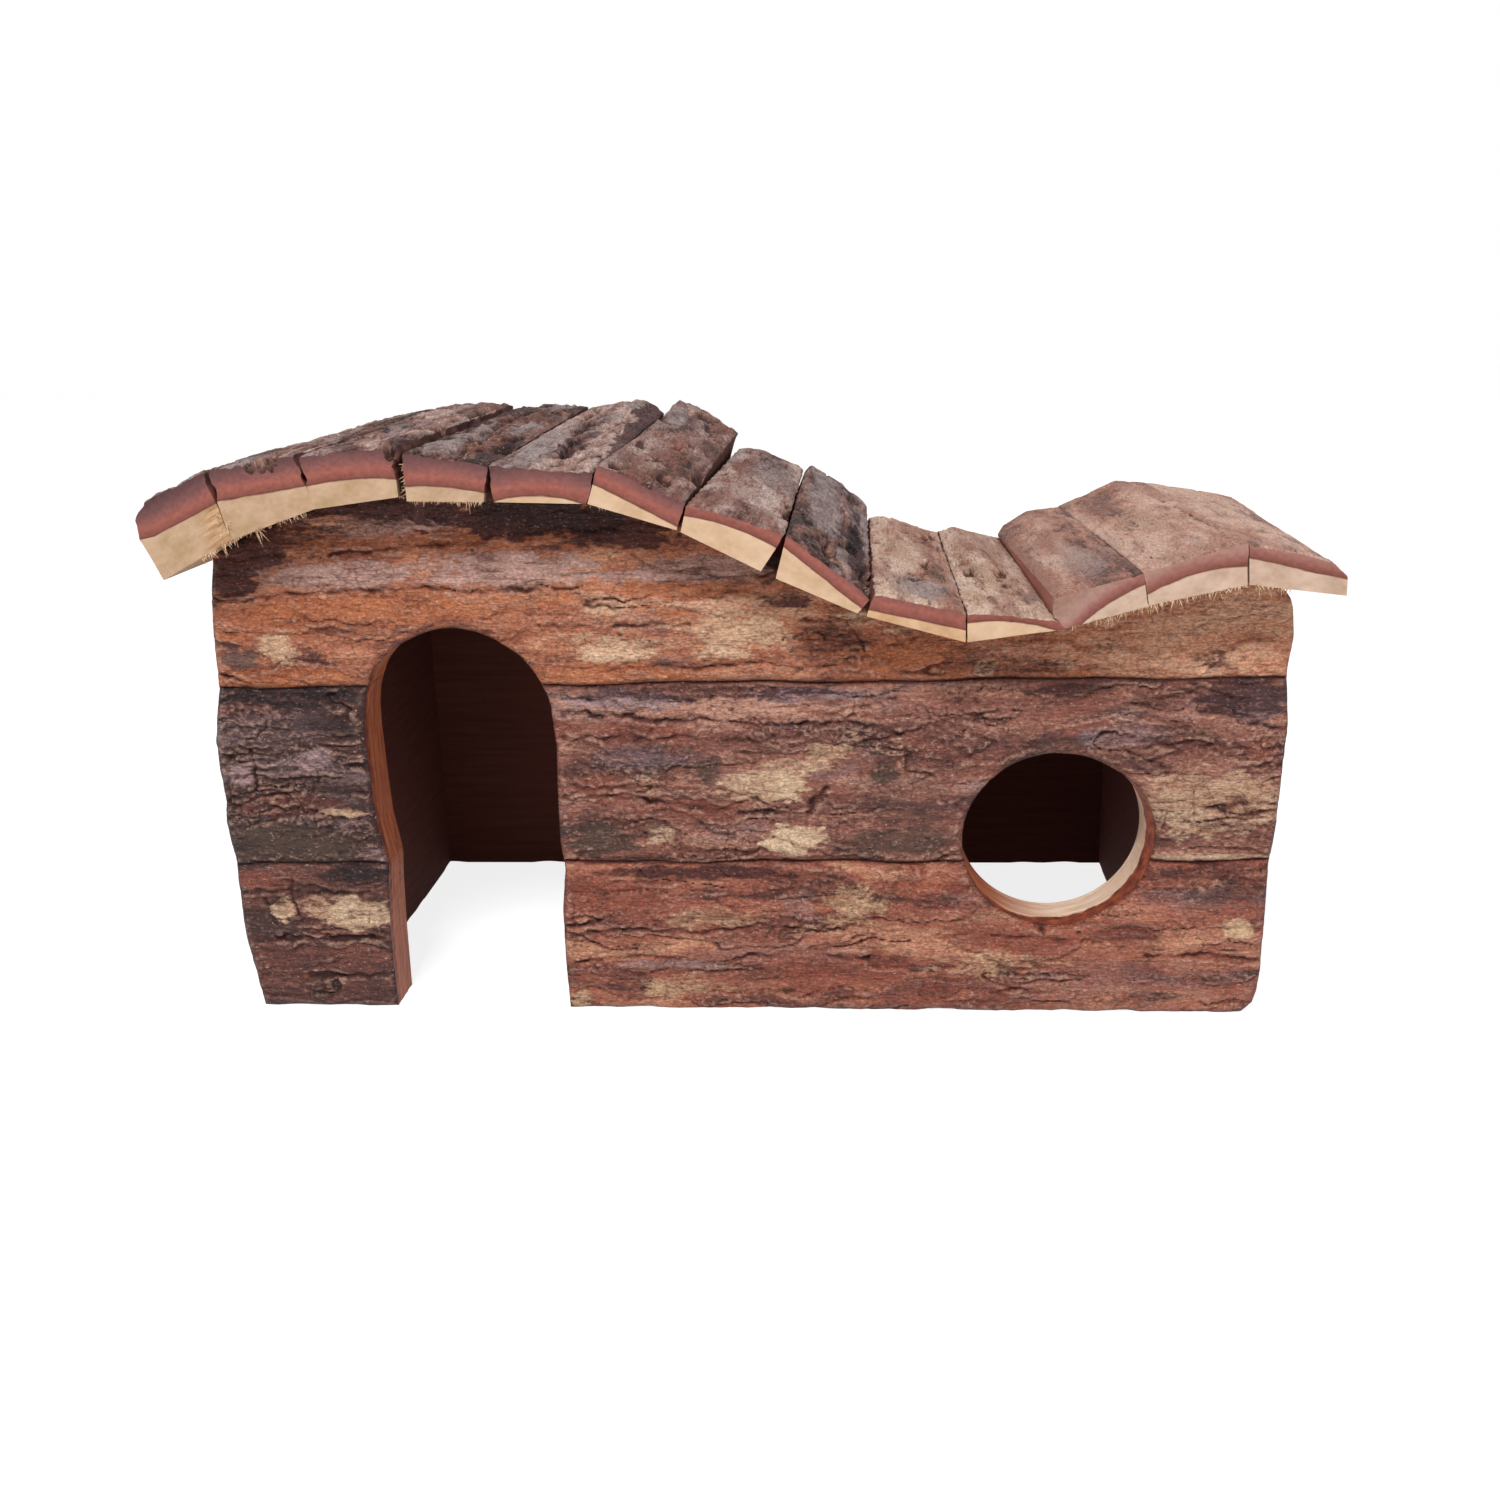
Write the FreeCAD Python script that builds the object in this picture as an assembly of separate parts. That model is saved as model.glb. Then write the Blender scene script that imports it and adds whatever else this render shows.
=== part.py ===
"""Small-animal house of bark-covered slab wood: four walls, each three planks high, with an arched
doorway and a round window in the front one, under a wavy roof of slats laid side by side.

Millimetres. +X to the right as the front is seen, +Y from the front wall to the back, +Z up. The walls
are built round the middle of the front wall's foot, with the front bark face at y = 0, and everything is
moved at the end so that the middle of the whole object's foot lies at the origin.
"""
import FreeCAD, Part
import math
import os

Vector = FreeCAD.Vector

# ---- driving dimensions ------------------------------------------------------------------------------

# Planks. Every wall has a lower, a middle and an upper plank, with the bark left on the outside.
lower_plank_height = 38.4
middle_plank_height = 43.6
upper_plank_least_height = 11.4   # left over the middle plank where the roof dips
front_thickness = 14.0
back_thickness = 12.0
side_thickness = 14.0
bark_crown = 2.0                  # how far the bark face swells between a plank's two edges

# House
house_depth = 113.0               # front bark face to back bark face
side_inset = 9.0                  # from the front wall's end to the side wall's bark face

# Doorway, sawn with an arched top
door_from_left_end = 35.3
door_width = 43.6
door_height = 95.1

# Window
window_from_right_end = 49.8
window_centre_height = 44.0
window_radius = 21.2

# Roof slats from left to right: width along the roof, height at the left and at the right edge of the
# front end, as the slab was sawn, and tilt, in degrees, rising to the right.
slat_widths = [18.5, 20.5, 19.5, 19.5, 21.0, 20.5, 21.5, 22.0, 23.0, 21.0, 18.0, 21.0, 20.5]
slat_left_heights = [16.0, 15.5, 11.5, 9.5, 8.0, 9.0, 6.0, 9.0, 5.0, 6.5, 7.5, 7.5, 8.5]
slat_right_heights = [15.0, 12.0, 10.5, 7.5, 6.5, 6.0, 9.5, 4.5, 6.0, 2.0, 7.5, 9.0, 5.0]
slat_tilt_degrees = [28.0, 18.5, 6.0, -3.5, -2.0, -17.5, -27.0, -24.0, -15.5, 7.5, 15.5, 12.0, -7.5]
# How far the sawn edges lean to the left, in degrees: the roof's left end, the joints, and its right end.
joint_lean_degrees = [16.0, 15.5, 13.0, 2.0, -4.0, -17.0, -17.0, -25.0, -24.0, 1.0, 18.0, 9.5, 4.0, 2.5]
slat_crown = 1.0                  # how far a slat's bark rises between its two edges at the front end
# A log isn't the same all along, so at the back end each slat has other heights and another rise.
slat_back_left_heights = [16.0, 16.2, 13.5, 9.3, 11.3, 11.1, 7.2, 9.9, 4.3, 6.0, 3.0, 5.9, 6.9]
slat_back_right_heights = [15.4, 13.2, 11.5, 11.8, 11.1, 11.0, 9.8, 7.4, 4.8, 1.4, 5.3, 6.8, 5.6]
slat_back_crowns = [1.0, 1.0, 0.9, 0.6, 1.9, 3.3, 1.2, 2.1, 1.0, 0.9, 2.7, 2.6, 0.6]
roof_left_overhang = 3.4
roof_right_overhang = 7.4
roof_front_overhang = 10.5
roof_back_overhang = 0.5

# Headless steel pins, driven in until the wood closes over them
pin_radius = 0.6
roof_pin_length = 18.0
wall_pin_length = 24.0
pin_cover = 2.0                   # wood left over a pin's outer end
wall_pin_spacing = 14.0           # between the two pins of a plank at a corner

cut_margin = 1.0                  # how far a cutting shape runs past the wood that it cuts

# ---- places worked out from them ---------------------------------------------------------------------

lower_seam = lower_plank_height
upper_seam = lower_seam + middle_plank_height


def roof_underside():
    """Corners of the roof's underside from left to right, as (x, z), round the middle of the walls."""
    corners = [(0.0, 0.0)]
    for width, tilt in zip(slat_widths, slat_tilt_degrees):
        x, z = corners[-1]
        turn = math.radians(tilt)
        corners.append((x + width * math.cos(turn), z + width * math.sin(turn)))
    roof_run = corners[-1][0]
    middle = (roof_left_overhang + roof_run - roof_right_overhang) / 2
    dip = min(z for x, z in corners[2:])
    lift = upper_seam + upper_plank_least_height - dip
    return [(x - middle, z + lift) for x, z in corners]


underside = roof_underside()
wall_left = underside[0][0] + roof_left_overhang
wall_right = underside[-1][0] - roof_right_overhang
wall_length = wall_right - wall_left
roof_peak = max(z for x, z in underside)

front_inner_y = front_thickness
back_inner_y = house_depth - back_thickness
left_inner_x = wall_left + side_inset + side_thickness
right_inner_x = wall_right - side_inset - side_thickness


def underside_height(x):
    """Height of the roof's underside over the place x."""
    for (x0, z0), (x1, z1) in zip(underside, underside[1:]):
        if x0 <= x <= x1:
            return z0 + (z1 - z0) * (x - x0) / (x1 - x0)
    raise ValueError("no roof over x = %.1f" % x)


# ---- roof slats --------------------------------------------------------------------------------------

def leaning(degrees):
    """Unit vector that leans to the left of straight up by this much."""
    turn = math.radians(degrees)
    return Vector(-math.sin(turn), 0, math.cos(turn))


def slat_end(index, y, left_height, right_height, crown):
    """Corners of one end of a slat: low left, low right, top right, crest and top left."""
    up = leaning(slat_tilt_degrees[index])
    left_side = leaning(joint_lean_degrees[index])
    right_side = leaning(joint_lean_degrees[index + 1])
    low_left = Vector(underside[index][0], y, underside[index][1])
    low_right = Vector(underside[index + 1][0], y, underside[index + 1][1])
    top_left = low_left + left_side * (left_height / left_side.dot(up))
    top_right = low_right + right_side * (right_height / right_side.dot(up))
    crest = (top_left + top_right) * 0.5 + up * crown
    return low_left, low_right, top_right, crest, top_left


def roof_slat(index):
    """One slat: flat underside, sides that meet its neighbours, and a crowned bark top."""
    front = slat_end(index, -roof_front_overhang, slat_left_heights[index], slat_right_heights[index],
                     slat_crown)
    back = slat_end(index, house_depth + roof_back_overhang, slat_back_left_heights[index],
                    slat_back_right_heights[index], slat_back_crowns[index])
    faces = []
    for low_left, low_right, top_right, crest, top_left in (front, back):
        faces.append(Part.Face(Part.Wire([
            Part.makeLine(low_left, low_right),
            Part.makeLine(low_right, top_right),
            Part.Arc(top_right, crest, top_left).toShape(),
            Part.makeLine(top_left, low_left),
        ])))
    for one, other in ((0, 1), (1, 2), (4, 0)):
        faces.append(Part.Face(Part.makePolygon([front[one], front[other], back[other], back[one],
                                                 front[one]])))
    bark_edges = [Part.Arc(end[4], end[3], end[2]).toShape() for end in (front, back)]
    faces.append(Part.makeRuledSurface(*bark_edges))
    shell = Part.makeShell(faces)
    shell.sewShape()
    slab = Part.makeSolid(shell)
    return slab if slab.Volume > 0 else slab.reversed()


# ---- wall planks -------------------------------------------------------------------------------------

def bark_plank(length, bottom, top, thickness):
    """Plank along +X from the origin, its sawn inner face at y = 0 and its bark swelling towards -Y."""
    edge = thickness - bark_crown
    foot_inside = Vector(0, 0, bottom)
    foot_bark = Vector(0, -edge, bottom)
    swell = Vector(0, -thickness, (bottom + top) / 2)
    top_bark = Vector(0, -edge, top)
    top_inside = Vector(0, 0, top)
    outline = Part.Wire([
        Part.makeLine(foot_inside, foot_bark),
        Part.Arc(foot_bark, swell, top_bark).toShape(),
        Part.makeLine(top_bark, top_inside),
        Part.makeLine(top_inside, foot_inside),
    ])
    return Part.Face(outline).extrude(Vector(length, 0, 0))


def placed(shape, turn, x, y):
    """Turn a plank about the vertical and stand its inner corner at (x, y)."""
    shape.Placement = FreeCAD.Placement(Vector(x, y, 0), FreeCAD.Rotation(Vector(0, 0, 1), turn))
    return shape


def space_under_roof():
    """Everything below the roof's underside, wider and deeper than the walls."""
    outline = [Vector(x, -cut_margin, z) for x, z in underside]
    outline.append(Vector(underside[-1][0], -cut_margin, -cut_margin))
    outline.append(Vector(underside[0][0], -cut_margin, -cut_margin))
    outline.append(outline[0])
    return Part.Face(Part.makePolygon(outline)).extrude(Vector(0, house_depth + 2 * cut_margin, 0))


def plank_levels():
    """Name, foot and top of the three planks. The upper one is cut down to the roof's line later."""
    return [
        ("lower", 0.0, lower_seam),
        ("middle", lower_seam, upper_seam),
        ("upper", upper_seam, roof_peak),
    ]


def doorway():
    """The space sawn out for the doorway, right through the front wall."""
    arch_radius = door_width / 2
    left = wall_left + door_from_left_end
    y = -cut_margin
    foot_left = Vector(left, y, -cut_margin)
    foot_right = Vector(left + door_width, y, -cut_margin)
    spring_left = Vector(left, y, door_height - arch_radius)
    spring_right = Vector(left + door_width, y, door_height - arch_radius)
    arch_top = Vector(left + arch_radius, y, door_height)
    outline = Part.Wire([
        Part.makeLine(foot_left, foot_right),
        Part.makeLine(foot_right, spring_right),
        Part.Arc(spring_right, arch_top, spring_left).toShape(),
        Part.makeLine(spring_left, foot_left),
    ])
    return Part.Face(outline).extrude(Vector(0, front_thickness + 2 * cut_margin, 0))


def window():
    """The round hole of the window, right through the front wall."""
    centre = Vector(wall_right - window_from_right_end, -cut_margin, window_centre_height)
    return Part.makeCylinder(window_radius, front_thickness + 2 * cut_margin, centre, Vector(0, 1, 0))


def front_wall():
    """Front planks. The doorway parts the lower and middle ones into a left and a right piece."""
    planks = {}
    openings = doorway().fuse(window())
    for name, bottom, top in plank_levels():
        plank = placed(bark_plank(wall_length, bottom, top, front_thickness), 0, wall_left, front_inner_y)
        pieces = plank.common(space_under_roof()).cut(openings).Solids
        pieces.sort(key=lambda piece: piece.BoundBox.XMin)
        if len(pieces) == 1:
            planks["front_%s_plank" % name] = pieces[0]
        else:
            planks["front_%s_plank_left" % name] = pieces[0]
            planks["front_%s_plank_right" % name] = pieces[1]
    return planks


def back_wall():
    """Back planks, as long as the front ones and closed."""
    planks = {}
    for name, bottom, top in plank_levels():
        plank = placed(bark_plank(wall_length, bottom, top, back_thickness), 180, wall_right, back_inner_y)
        planks["back_%s_plank" % name] = plank.common(space_under_roof()).Solids[0]
    return planks


def side_wall(side, turn, inner_x, start_y):
    """Side planks, butted between the front and the back wall."""
    planks = {}
    length = back_inner_y - front_inner_y
    for name, bottom, top in plank_levels():
        plank = placed(bark_plank(length, bottom, top, side_thickness), turn, inner_x, start_y)
        planks["%s_%s_plank" % (side, name)] = plank.common(space_under_roof()).Solids[0]
    return planks


# ---- pins --------------------------------------------------------------------------------------------

def roof_pins():
    """Two pins down through each slat, one into the front wall's top edge and one into the back wall's."""
    roof_depth = roof_front_overhang + house_depth + roof_back_overhang
    pins = []
    for index, tilt in enumerate(slat_tilt_degrees):
        x = (max(underside[index][0], wall_left) + min(underside[index + 1][0], wall_right)) / 2
        up = leaning(tilt)
        front_height = (slat_left_heights[index] + slat_right_heights[index]) / 2
        back_height = (slat_back_left_heights[index] + slat_back_right_heights[index]) / 2
        for y in (front_thickness / 2, house_depth - back_thickness / 2):
            along = (y + roof_front_overhang) / roof_depth
            above_seat = front_height + (back_height - front_height) * along - pin_cover
            outer_end = Vector(x, y, underside_height(x)) + up * above_seat
            pins.append(Part.makeCylinder(pin_radius, roof_pin_length, outer_end, up * -1))
    return pins


def wall_pins():
    """Two pins at each corner of each plank, through the front or back wall into the side wall's end."""
    pins = []
    outer_ends = [(pin_cover + bark_crown, 1), (house_depth - pin_cover - bark_crown, -1)]
    for x in (left_inner_x - side_thickness / 2, right_inner_x + side_thickness / 2):
        for name, bottom, top in plank_levels():
            middle = (bottom + min(top, underside_height(x))) / 2
            for y, inwards in outer_ends:
                for offset in (-wall_pin_spacing / 2, wall_pin_spacing / 2):
                    outer_end = Vector(x, y, middle + offset)
                    axis = Vector(0, inwards, 0)
                    pins.append(Part.makeCylinder(pin_radius, wall_pin_length, outer_end, axis))
    return pins


# ---- the whole house ---------------------------------------------------------------------------------

def build_house():
    """All sub-parts by name, with the pin holes in the wood."""
    wood = {}
    for index in range(len(slat_widths)):
        wood["roof_slat_%02d" % (index + 1)] = roof_slat(index)
    wood.update(front_wall())
    wood.update(back_wall())
    wood.update(side_wall("left_side", -90, left_inner_x, back_inner_y))
    wood.update(side_wall("right_side", 90, right_inner_x, front_inner_y))

    pins = {"roof_pins": Part.makeCompound(roof_pins()), "wall_pins": Part.makeCompound(wall_pins())}
    all_pins = Part.makeCompound(list(pins.values()))
    house = {name: piece.cut(all_pins) for name, piece in wood.items()}
    house.update(pins)
    return house


def stand_on_origin(parts):
    """Move everything so that the middle of the object's foot is the origin."""
    box = Part.makeCompound(list(parts.values())).optimalBoundingBox(False, False)
    shift = Vector(-(box.XMin + box.XMax) / 2, -(box.YMin + box.YMax) / 2, -box.ZMin)
    for shape in parts.values():
        shape.translate(shift)
    print("moved by %.3f %.3f %.3f" % tuple(shift))
    print("size %.3f x %.3f x %.3f" % (box.XLength, box.YLength, box.ZLength))


parts = build_house()
stand_on_origin(parts)
os.makedirs("parts", exist_ok=True)
for name, shape in parts.items():
    shape.exportStep("parts/%s.step" % name)
    print("%-26s %2d solid(s) %9.1f mm3" % (name, len(shape.Solids), shape.Volume))
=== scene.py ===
import math

import bpy
import numpy as np
from mathutils import Matrix, Vector
from mathutils.geometry import delaunay_2d_cdt
from mathutils.kdtree import KDTree


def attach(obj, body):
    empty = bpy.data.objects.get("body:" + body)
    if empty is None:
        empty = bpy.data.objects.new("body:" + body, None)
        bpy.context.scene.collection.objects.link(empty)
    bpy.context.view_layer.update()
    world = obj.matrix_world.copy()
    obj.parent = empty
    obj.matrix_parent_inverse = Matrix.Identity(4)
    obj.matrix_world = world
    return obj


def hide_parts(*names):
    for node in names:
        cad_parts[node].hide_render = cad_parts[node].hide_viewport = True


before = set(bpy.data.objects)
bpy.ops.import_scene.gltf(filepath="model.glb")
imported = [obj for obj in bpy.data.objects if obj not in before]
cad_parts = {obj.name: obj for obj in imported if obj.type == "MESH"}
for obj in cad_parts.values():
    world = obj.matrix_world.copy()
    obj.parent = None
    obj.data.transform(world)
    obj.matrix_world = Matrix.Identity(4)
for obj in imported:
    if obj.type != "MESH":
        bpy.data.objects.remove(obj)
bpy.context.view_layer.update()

# ---- Front wall ------------------------------------------------------------------------------
# Three horizontal slabs of a conifer, sawn 14 mm thick with their bark left outside and stained.
# The doorway and the round window are sawn right through them; glue and pins hold the edges.

MM = 0.001
FRONT_FACE_Y = -51.5
FRONT_THICKNESS = 14.0
FINE_STEP = 0.45                # between the points on a bark face that shows
SAWN_STEP = 3.0                 # between the points on a plank's flat inner face
RUN_STEP = 0.8                  # between the points of a joint or an end
FOOT_CLEARANCE = 0.02           # the feet stay this far over the floor
PLANK_RELIEF = (-2.4, 1.3)      # how deep and how proud a plank's bark may be
LOWER_JOINT, UPPER_JOINT = 37.7, 81.6
CUT_RINGS = np.array((0.5, 1.1, 1.8, 2.6, 3.6, 5.0, 7.0, 9.0, 11.0, 12.7))   # in the 14 mm front
PLANK_CROWN = 1.1               # a slab's bark face is this much lower at its edges
ROOF_UNDERSIDE = np.array((
    (-125.56, 109.12), (-109.22, 117.8), (-89.78, 124.3), (-70.39, 126.34), (-50.92, 125.15),
    (-29.94, 124.42), (-10.39, 118.26), (8.77, 108.49), (28.87, 99.55), (51.03, 93.4),
    (71.85, 96.14), (89.2, 100.95), (109.74, 105.32), (130.06, 102.64)))
LEFT_END = np.array((
    (0.0, -120.3), (8.7, -121.1), (18.9, -122.5), (31.5, -122.8), (38.3, -122.9), (48.7, -123.8),
    (54.7, -123.2), (68.9, -123.7), (75.0, -122.6), (82.0, -121.5), (94.0, -121.0), (102.5, -120.2),
    (112.0, -118.8), (120.0, -118.2)))
RIGHT_END = np.array((
    (0.0, 117.6), (2.9, 120.5), (6.0, 121.2), (12.0, 121.5), (30.0, 121.6), (38.0, 121.8),
    (46.0, 122.5), (61.0, 123.0), (71.6, 123.4), (82.0, 122.6), (84.2, 122.5), (91.2, 123.3),
    (97.5, 122.6), (99.9, 121.9),
    (101.6, 120.8), (102.8, 119.2), (104.0, 117.6)))
DOOR_LEFT = np.array((
    (0.0, -86.4), (17.8, -86.2), (30.3, -85.8), (36.5, -85.3), (38.9, -85.6), (47.4, -86.9),
    (57.6, -87.3), (69.3, -87.6), (75.1, -87.4), (79.0, -86.8), (84.0, -85.2)))
DOOR_RIGHT = np.array((
    (0.0, -43.3), (11.7, -43.4), (26.1, -43.4), (36.5, -42.3), (42.6, -43.1), (54.5, -42.8),
    (66.8, -42.4), (76.5, -43.3), (79.0, -43.9), (84.0, -46.3)))
DOOR_ARCH = np.array((
    (-86.0, 82.0), (-83.7, 86.2), (-78.4, 91.0), (-70.4, 94.6), (-64.0, 95.3), (-57.4, 93.6),
    (-50.4, 89.3), (-46.6, 84.6), (-45.2, 82.0)))
WINDOW_CENTRE = (72.86, 44.0)
WINDOW_RADIUS = 21.2
RIM_BEVEL = 1.3                 # the rim opens inwards by this much on its right side
RIM_REACH = WINDOW_RADIUS + RIM_BEVEL + 0.5


def srgb(code, alpha=1.0):
    """A hex colour as linear red, green, blue and alpha."""
    values = [int(code[i:i + 2], 16) / 255 for i in (1, 3, 5)]
    linear = [v / 12.92 if v <= 0.04045 else ((v + 0.055) / 1.055) ** 2.4 for v in values]
    return (*linear, alpha)


def grain_noise(points, seed):
    """Smooth noise from about -1 to 1 at points (n, 3) measured in cells."""
    cell = np.floor(points).astype(np.int64)
    local = points - cell
    fade = local * local * local * (local * (local * 6 - 15) + 10)
    total = np.zeros(len(points))
    for corner in np.ndindex(2, 2, 2):
        at = cell + np.array(corner)
        mixed = at[:, 0] * 73856093 ^ at[:, 1] * 19349663 ^ at[:, 2] * 83492791 ^ (seed + 7) * 40503
        mixed = ((mixed ^ (mixed >> 15)) * 1274126177) & 0xFFFFFFFF
        mixed = ((mixed ^ (mixed >> 13)) * 1103515245) & 0xFFFFFFFF
        turn = (mixed & 0xFFFF) * (math.tau / 65536)
        lift = (mixed >> 16) / 32768 - 1
        flat = np.sqrt(1 - lift * lift)
        offset = local - np.array(corner)
        slope = offset[:, 0] * flat * np.cos(turn) + offset[:, 1] * flat * np.sin(turn)
        slope += offset[:, 2] * lift
        weight = np.prod(np.where(np.array(corner), fade, 1 - fade), axis=1)
        total += weight * slope
    return total * 1.7


def fractal(along, across, length, width, seed, octaves=3):
    """Layered noise over a face, with patches about length by width mm."""
    total = np.zeros(len(along))
    strength = 1.0
    for octave in range(octaves):
        scale = 2.0 ** octave
        points = np.stack((along * scale / length, across * scale / width,
                           np.full(len(along), seed * 3.71 + octave * 1.3)), axis=1)
        total += strength * grain_noise(points, seed + octave * 11)
        strength *= 0.5
    return total


def ease(value, low, high):
    """0 below low, 1 above high, smooth between."""
    part = np.clip((value - low) / (high - low), 0, 1)
    return part * part * (3 - 2 * part)


def line_distance(x, z, points):
    """Distance from points (x, z) to a run of straight pieces."""
    best = np.full(len(x), 1e9)
    for (ax, az), (bx, bz) in zip(points[:-1], points[1:]):
        dx, dz = bx - ax, bz - az
        part = np.clip(((x - ax) * dx + (z - az) * dz) / (dx * dx + dz * dz), 0, 1)
        best = np.minimum(best, np.hypot(x - ax - part * dx, z - az - part * dz))
    return best


def bark(along, across, seed, style):
    """Relief in mm and colour masks of one bark face; along follows the wood's grain."""
    # The grain wanders, and plates of bark lie over each other in terraces with broken edges.
    drift = 2.4 * fractal(along, across, 34, 22, seed + 1, 2)
    wander = across + drift + 0.9 * fractal(along, across, 9, 6, seed + 2, 2)
    jagged = wander + 0.5 * fractal(along, across, 2.6, 2.2, seed + 19, 2)
    shift = along + 3.0 * fractal(along, across, 12, 9, seed + 3, 2)
    level = fractal(shift, jagged, style["plate_length"], style["plate_width"], seed + 4, 3)
    level = style["plates"] * level
    whole = np.floor(level)
    rise = level - whole
    plate = whole + ease(rise, 0.0, 0.25)
    broken = ease(fractal(along, across, 17, 9, seed + 5, 2), -0.45, 0.15)
    foot = np.exp(-((rise - 0.02) / 0.085) ** 2) + np.exp(-((rise - 1.0) / 0.05) ** 2)
    # Flakes, splits along the grain, cracks across it, pits and grit break the plates up.
    flakes = fractal(shift, jagged, 6, 2.4, seed + 6, 2) * 1.6
    flake_rise = flakes - np.floor(flakes)
    flake = ease(flake_rise, 0.0, 0.35) - flake_rise
    flake_foot = np.exp(-((flake_rise - 0.02) / 0.09) ** 2)
    split = np.abs(fractal(shift, jagged, style["split_length"], style["split_width"], seed + 7, 2))
    gate = style["split_gate"]
    split_gate = ease(fractal(along, across, 30, 12, seed + 8, 2), gate, gate + 0.3)
    split = np.exp(-(split / 0.034) ** 2) * split_gate
    cross = np.abs(fractal(along + 0.6 * drift + 0.3 * jagged, across, 5.5, 16, seed + 9, 2))
    cross_gate = ease(fractal(along, across, 18, 9, seed + 10, 2), 0.15, 0.45)
    cross = np.exp(-(cross / 0.032) ** 2) * cross_gate * style["cross"]
    pits = ease(fractal(along, across, 2.6, 1.8, seed + 11, 2), 0.55, 0.95) * broken
    grit = fractal(along, across, 2.2, 1.2, seed + 12, 3)
    rough = 0.3 + 0.7 * ease(fractal(along, across, 22, 9, seed + 13, 2), -0.35, 0.35)
    height = 0.5 * fractal(along, across, 60, 20, seed + 14, 2)
    height += style["step"] * (plate - level * 0.85)
    height += style["flake"] * flake * rough
    height += style["grit"] * grit * rough
    height -= style["split_depth"] * split + 0.7 * cross + 0.6 * pits * style["pits"]
    height -= 0.3 * foot * broken
    # Painted shade darkens what is deep, each plate has its own tone and its own rubbed or stained
    # places, and dirt lies in patches.
    dark = 0.8 * split + 0.65 * cross + 0.5 * foot * broken * rough + 0.45 * pits * style["pits"]
    dark += 0.2 * flake_foot * rough * style["flake"]
    masks = {
        "dark": np.clip(dark, 0, 1),
        "tone": 0.5 + style["tone"] + style["clouds"] * fractal(along, wander, 60, 7, seed + 15, 3)
        + 0.16 * fractal(along, jagged, 12, 3, seed + 21, 2) + 0.1 * flake
        + 0.12 * np.sin(whole * 2.4 + seed),
        "bare": ease(fractal(shift, wander, 17, 6, seed + 16, 3), 0.25, 0.95) * style["bare"],
        "grey": ease(fractal(along, wander, 40, 8, seed + 17, 3), -0.1, 0.8) * style["grey"],
        "rust": ease(fractal(along, wander, 34, 7, seed + 18, 3), -0.2, 0.7) * style["rust"],
        "olive": np.zeros(len(along)),
        "dirt_and_shadow": 0.5 * ease(fractal(shift, wander, 26, 7, seed + 22, 3), 0.1, 0.9),
    }
    return height, masks


def lay_patches(along, across, seed, height, masks, patches):
    """Stains, worn places and painted shadows: mask, centre, half sizes and strength."""
    ragged = 0.4 * fractal(along, across, 9, 3.5, seed + 40, 4)
    ragged += 0.3 * fractal(along, across, 3.2, 1.3, seed + 41, 2)
    # Some dark patches are dirt and some are painted shadow, such as the roof's shadow on the upper
    # plank.
    for name, x, z, half_x, half_z, strength in patches:
        reach = np.hypot((along - x) / half_x, (across - z) / half_z) + ragged
        laid = 1 - ease(reach, 0.55, 1.35)
        if name == "tone":
            masks[name] += strength * laid
            continue
        masks[name] = np.maximum(masks[name], strength * laid)
        for other in ("bare", "rust", "grey", "olive"):
            if other != name and name != "dirt_and_shadow":
                masks[other] = masks[other] * (1 - 0.8 * laid)
    height *= 1 - 0.6 * masks["olive"]
    masks["dark"] *= 1 - 0.6 * masks["olive"]


def cut_splits(along, across, seed, height, masks, splits):
    """Splits and hollows in the bark: half width, depth and a run of points."""
    stray_x = fractal(along, across, 5, 5, seed + 50, 2)
    stray_z = fractal(along, across, 4, 4, seed + 51, 3)
    fibre = fractal(along, across, 3.5, 0.9, seed + 53, 2)
    fade = np.clip(0.65 + 0.5 * fractal(along, across, 6, 6, seed + 52, 2), 0, 1)
    for half_width, depth, points in splits:
        stray = 0.5 + 0.5 * half_width
        away = line_distance(along + stray * stray_x, across + stray * stray_z, points)
        cut = np.exp(-(away / half_width) ** 2) * fade
        height -= depth * cut * (1 + 0.4 * fibre * min(1, half_width - 0.3))
        # Painted shade darkens each split.
        masks["dark"] = np.maximum(masks["dark"], cut)


def raise_knots(along, across, height, masks, knots):
    """Ring knots: centre, radius and how proud they stand."""
    stray = 0.5 * fractal(along, across, 3, 3, 77, 2)
    for x, z, radius, proud in knots:
        dx = along - x
        dz = (across - z) * 1.2
        away = np.hypot(dx, dz) * (1 + 0.12 * np.sin(3 * np.arctan2(dz, dx) + x)) + stray
        inside = np.exp(-(away / radius) ** 2)
        rings = np.sin(away * 3.6)
        height += proud * inside * (0.7 + 0.45 * rings) - 0.5 * np.exp(-(away / (0.28 * radius)) ** 2)
        masks["dark"] = np.maximum(masks["dark"], inside * ease(-rings, 0.2, 1.0) * 0.6)
        masks["dark"] = np.maximum(masks["dark"], np.exp(-(away / (0.22 * radius)) ** 2) * 0.8)


def stand_out(height, faces, rounds):
    """How far each point stands above (+) or below (-) the points round it, in mm."""
    start, end = faces.ravel(), np.roll(faces, -1, axis=1).ravel()
    size = len(height)
    links = np.bincount(start, minlength=size) + np.bincount(end, minlength=size)
    level = height
    for _ in range(rounds):
        total = np.bincount(start, level[end], size) + np.bincount(end, level[start], size)
        level = total / np.maximum(1, links)
    return height - level


def mark_edges(height, faces, masks, crease, rim):
    """Creases get painted shade, and the plates' raised edges are rubbed pale."""
    proud = stand_out(height, faces, 5)
    masks["dark"] = np.maximum(masks["dark"], crease * ease(-proud, 0.1, 0.5))
    masks["rim"] = rim * ease(proud, 0.05, 0.35)


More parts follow.
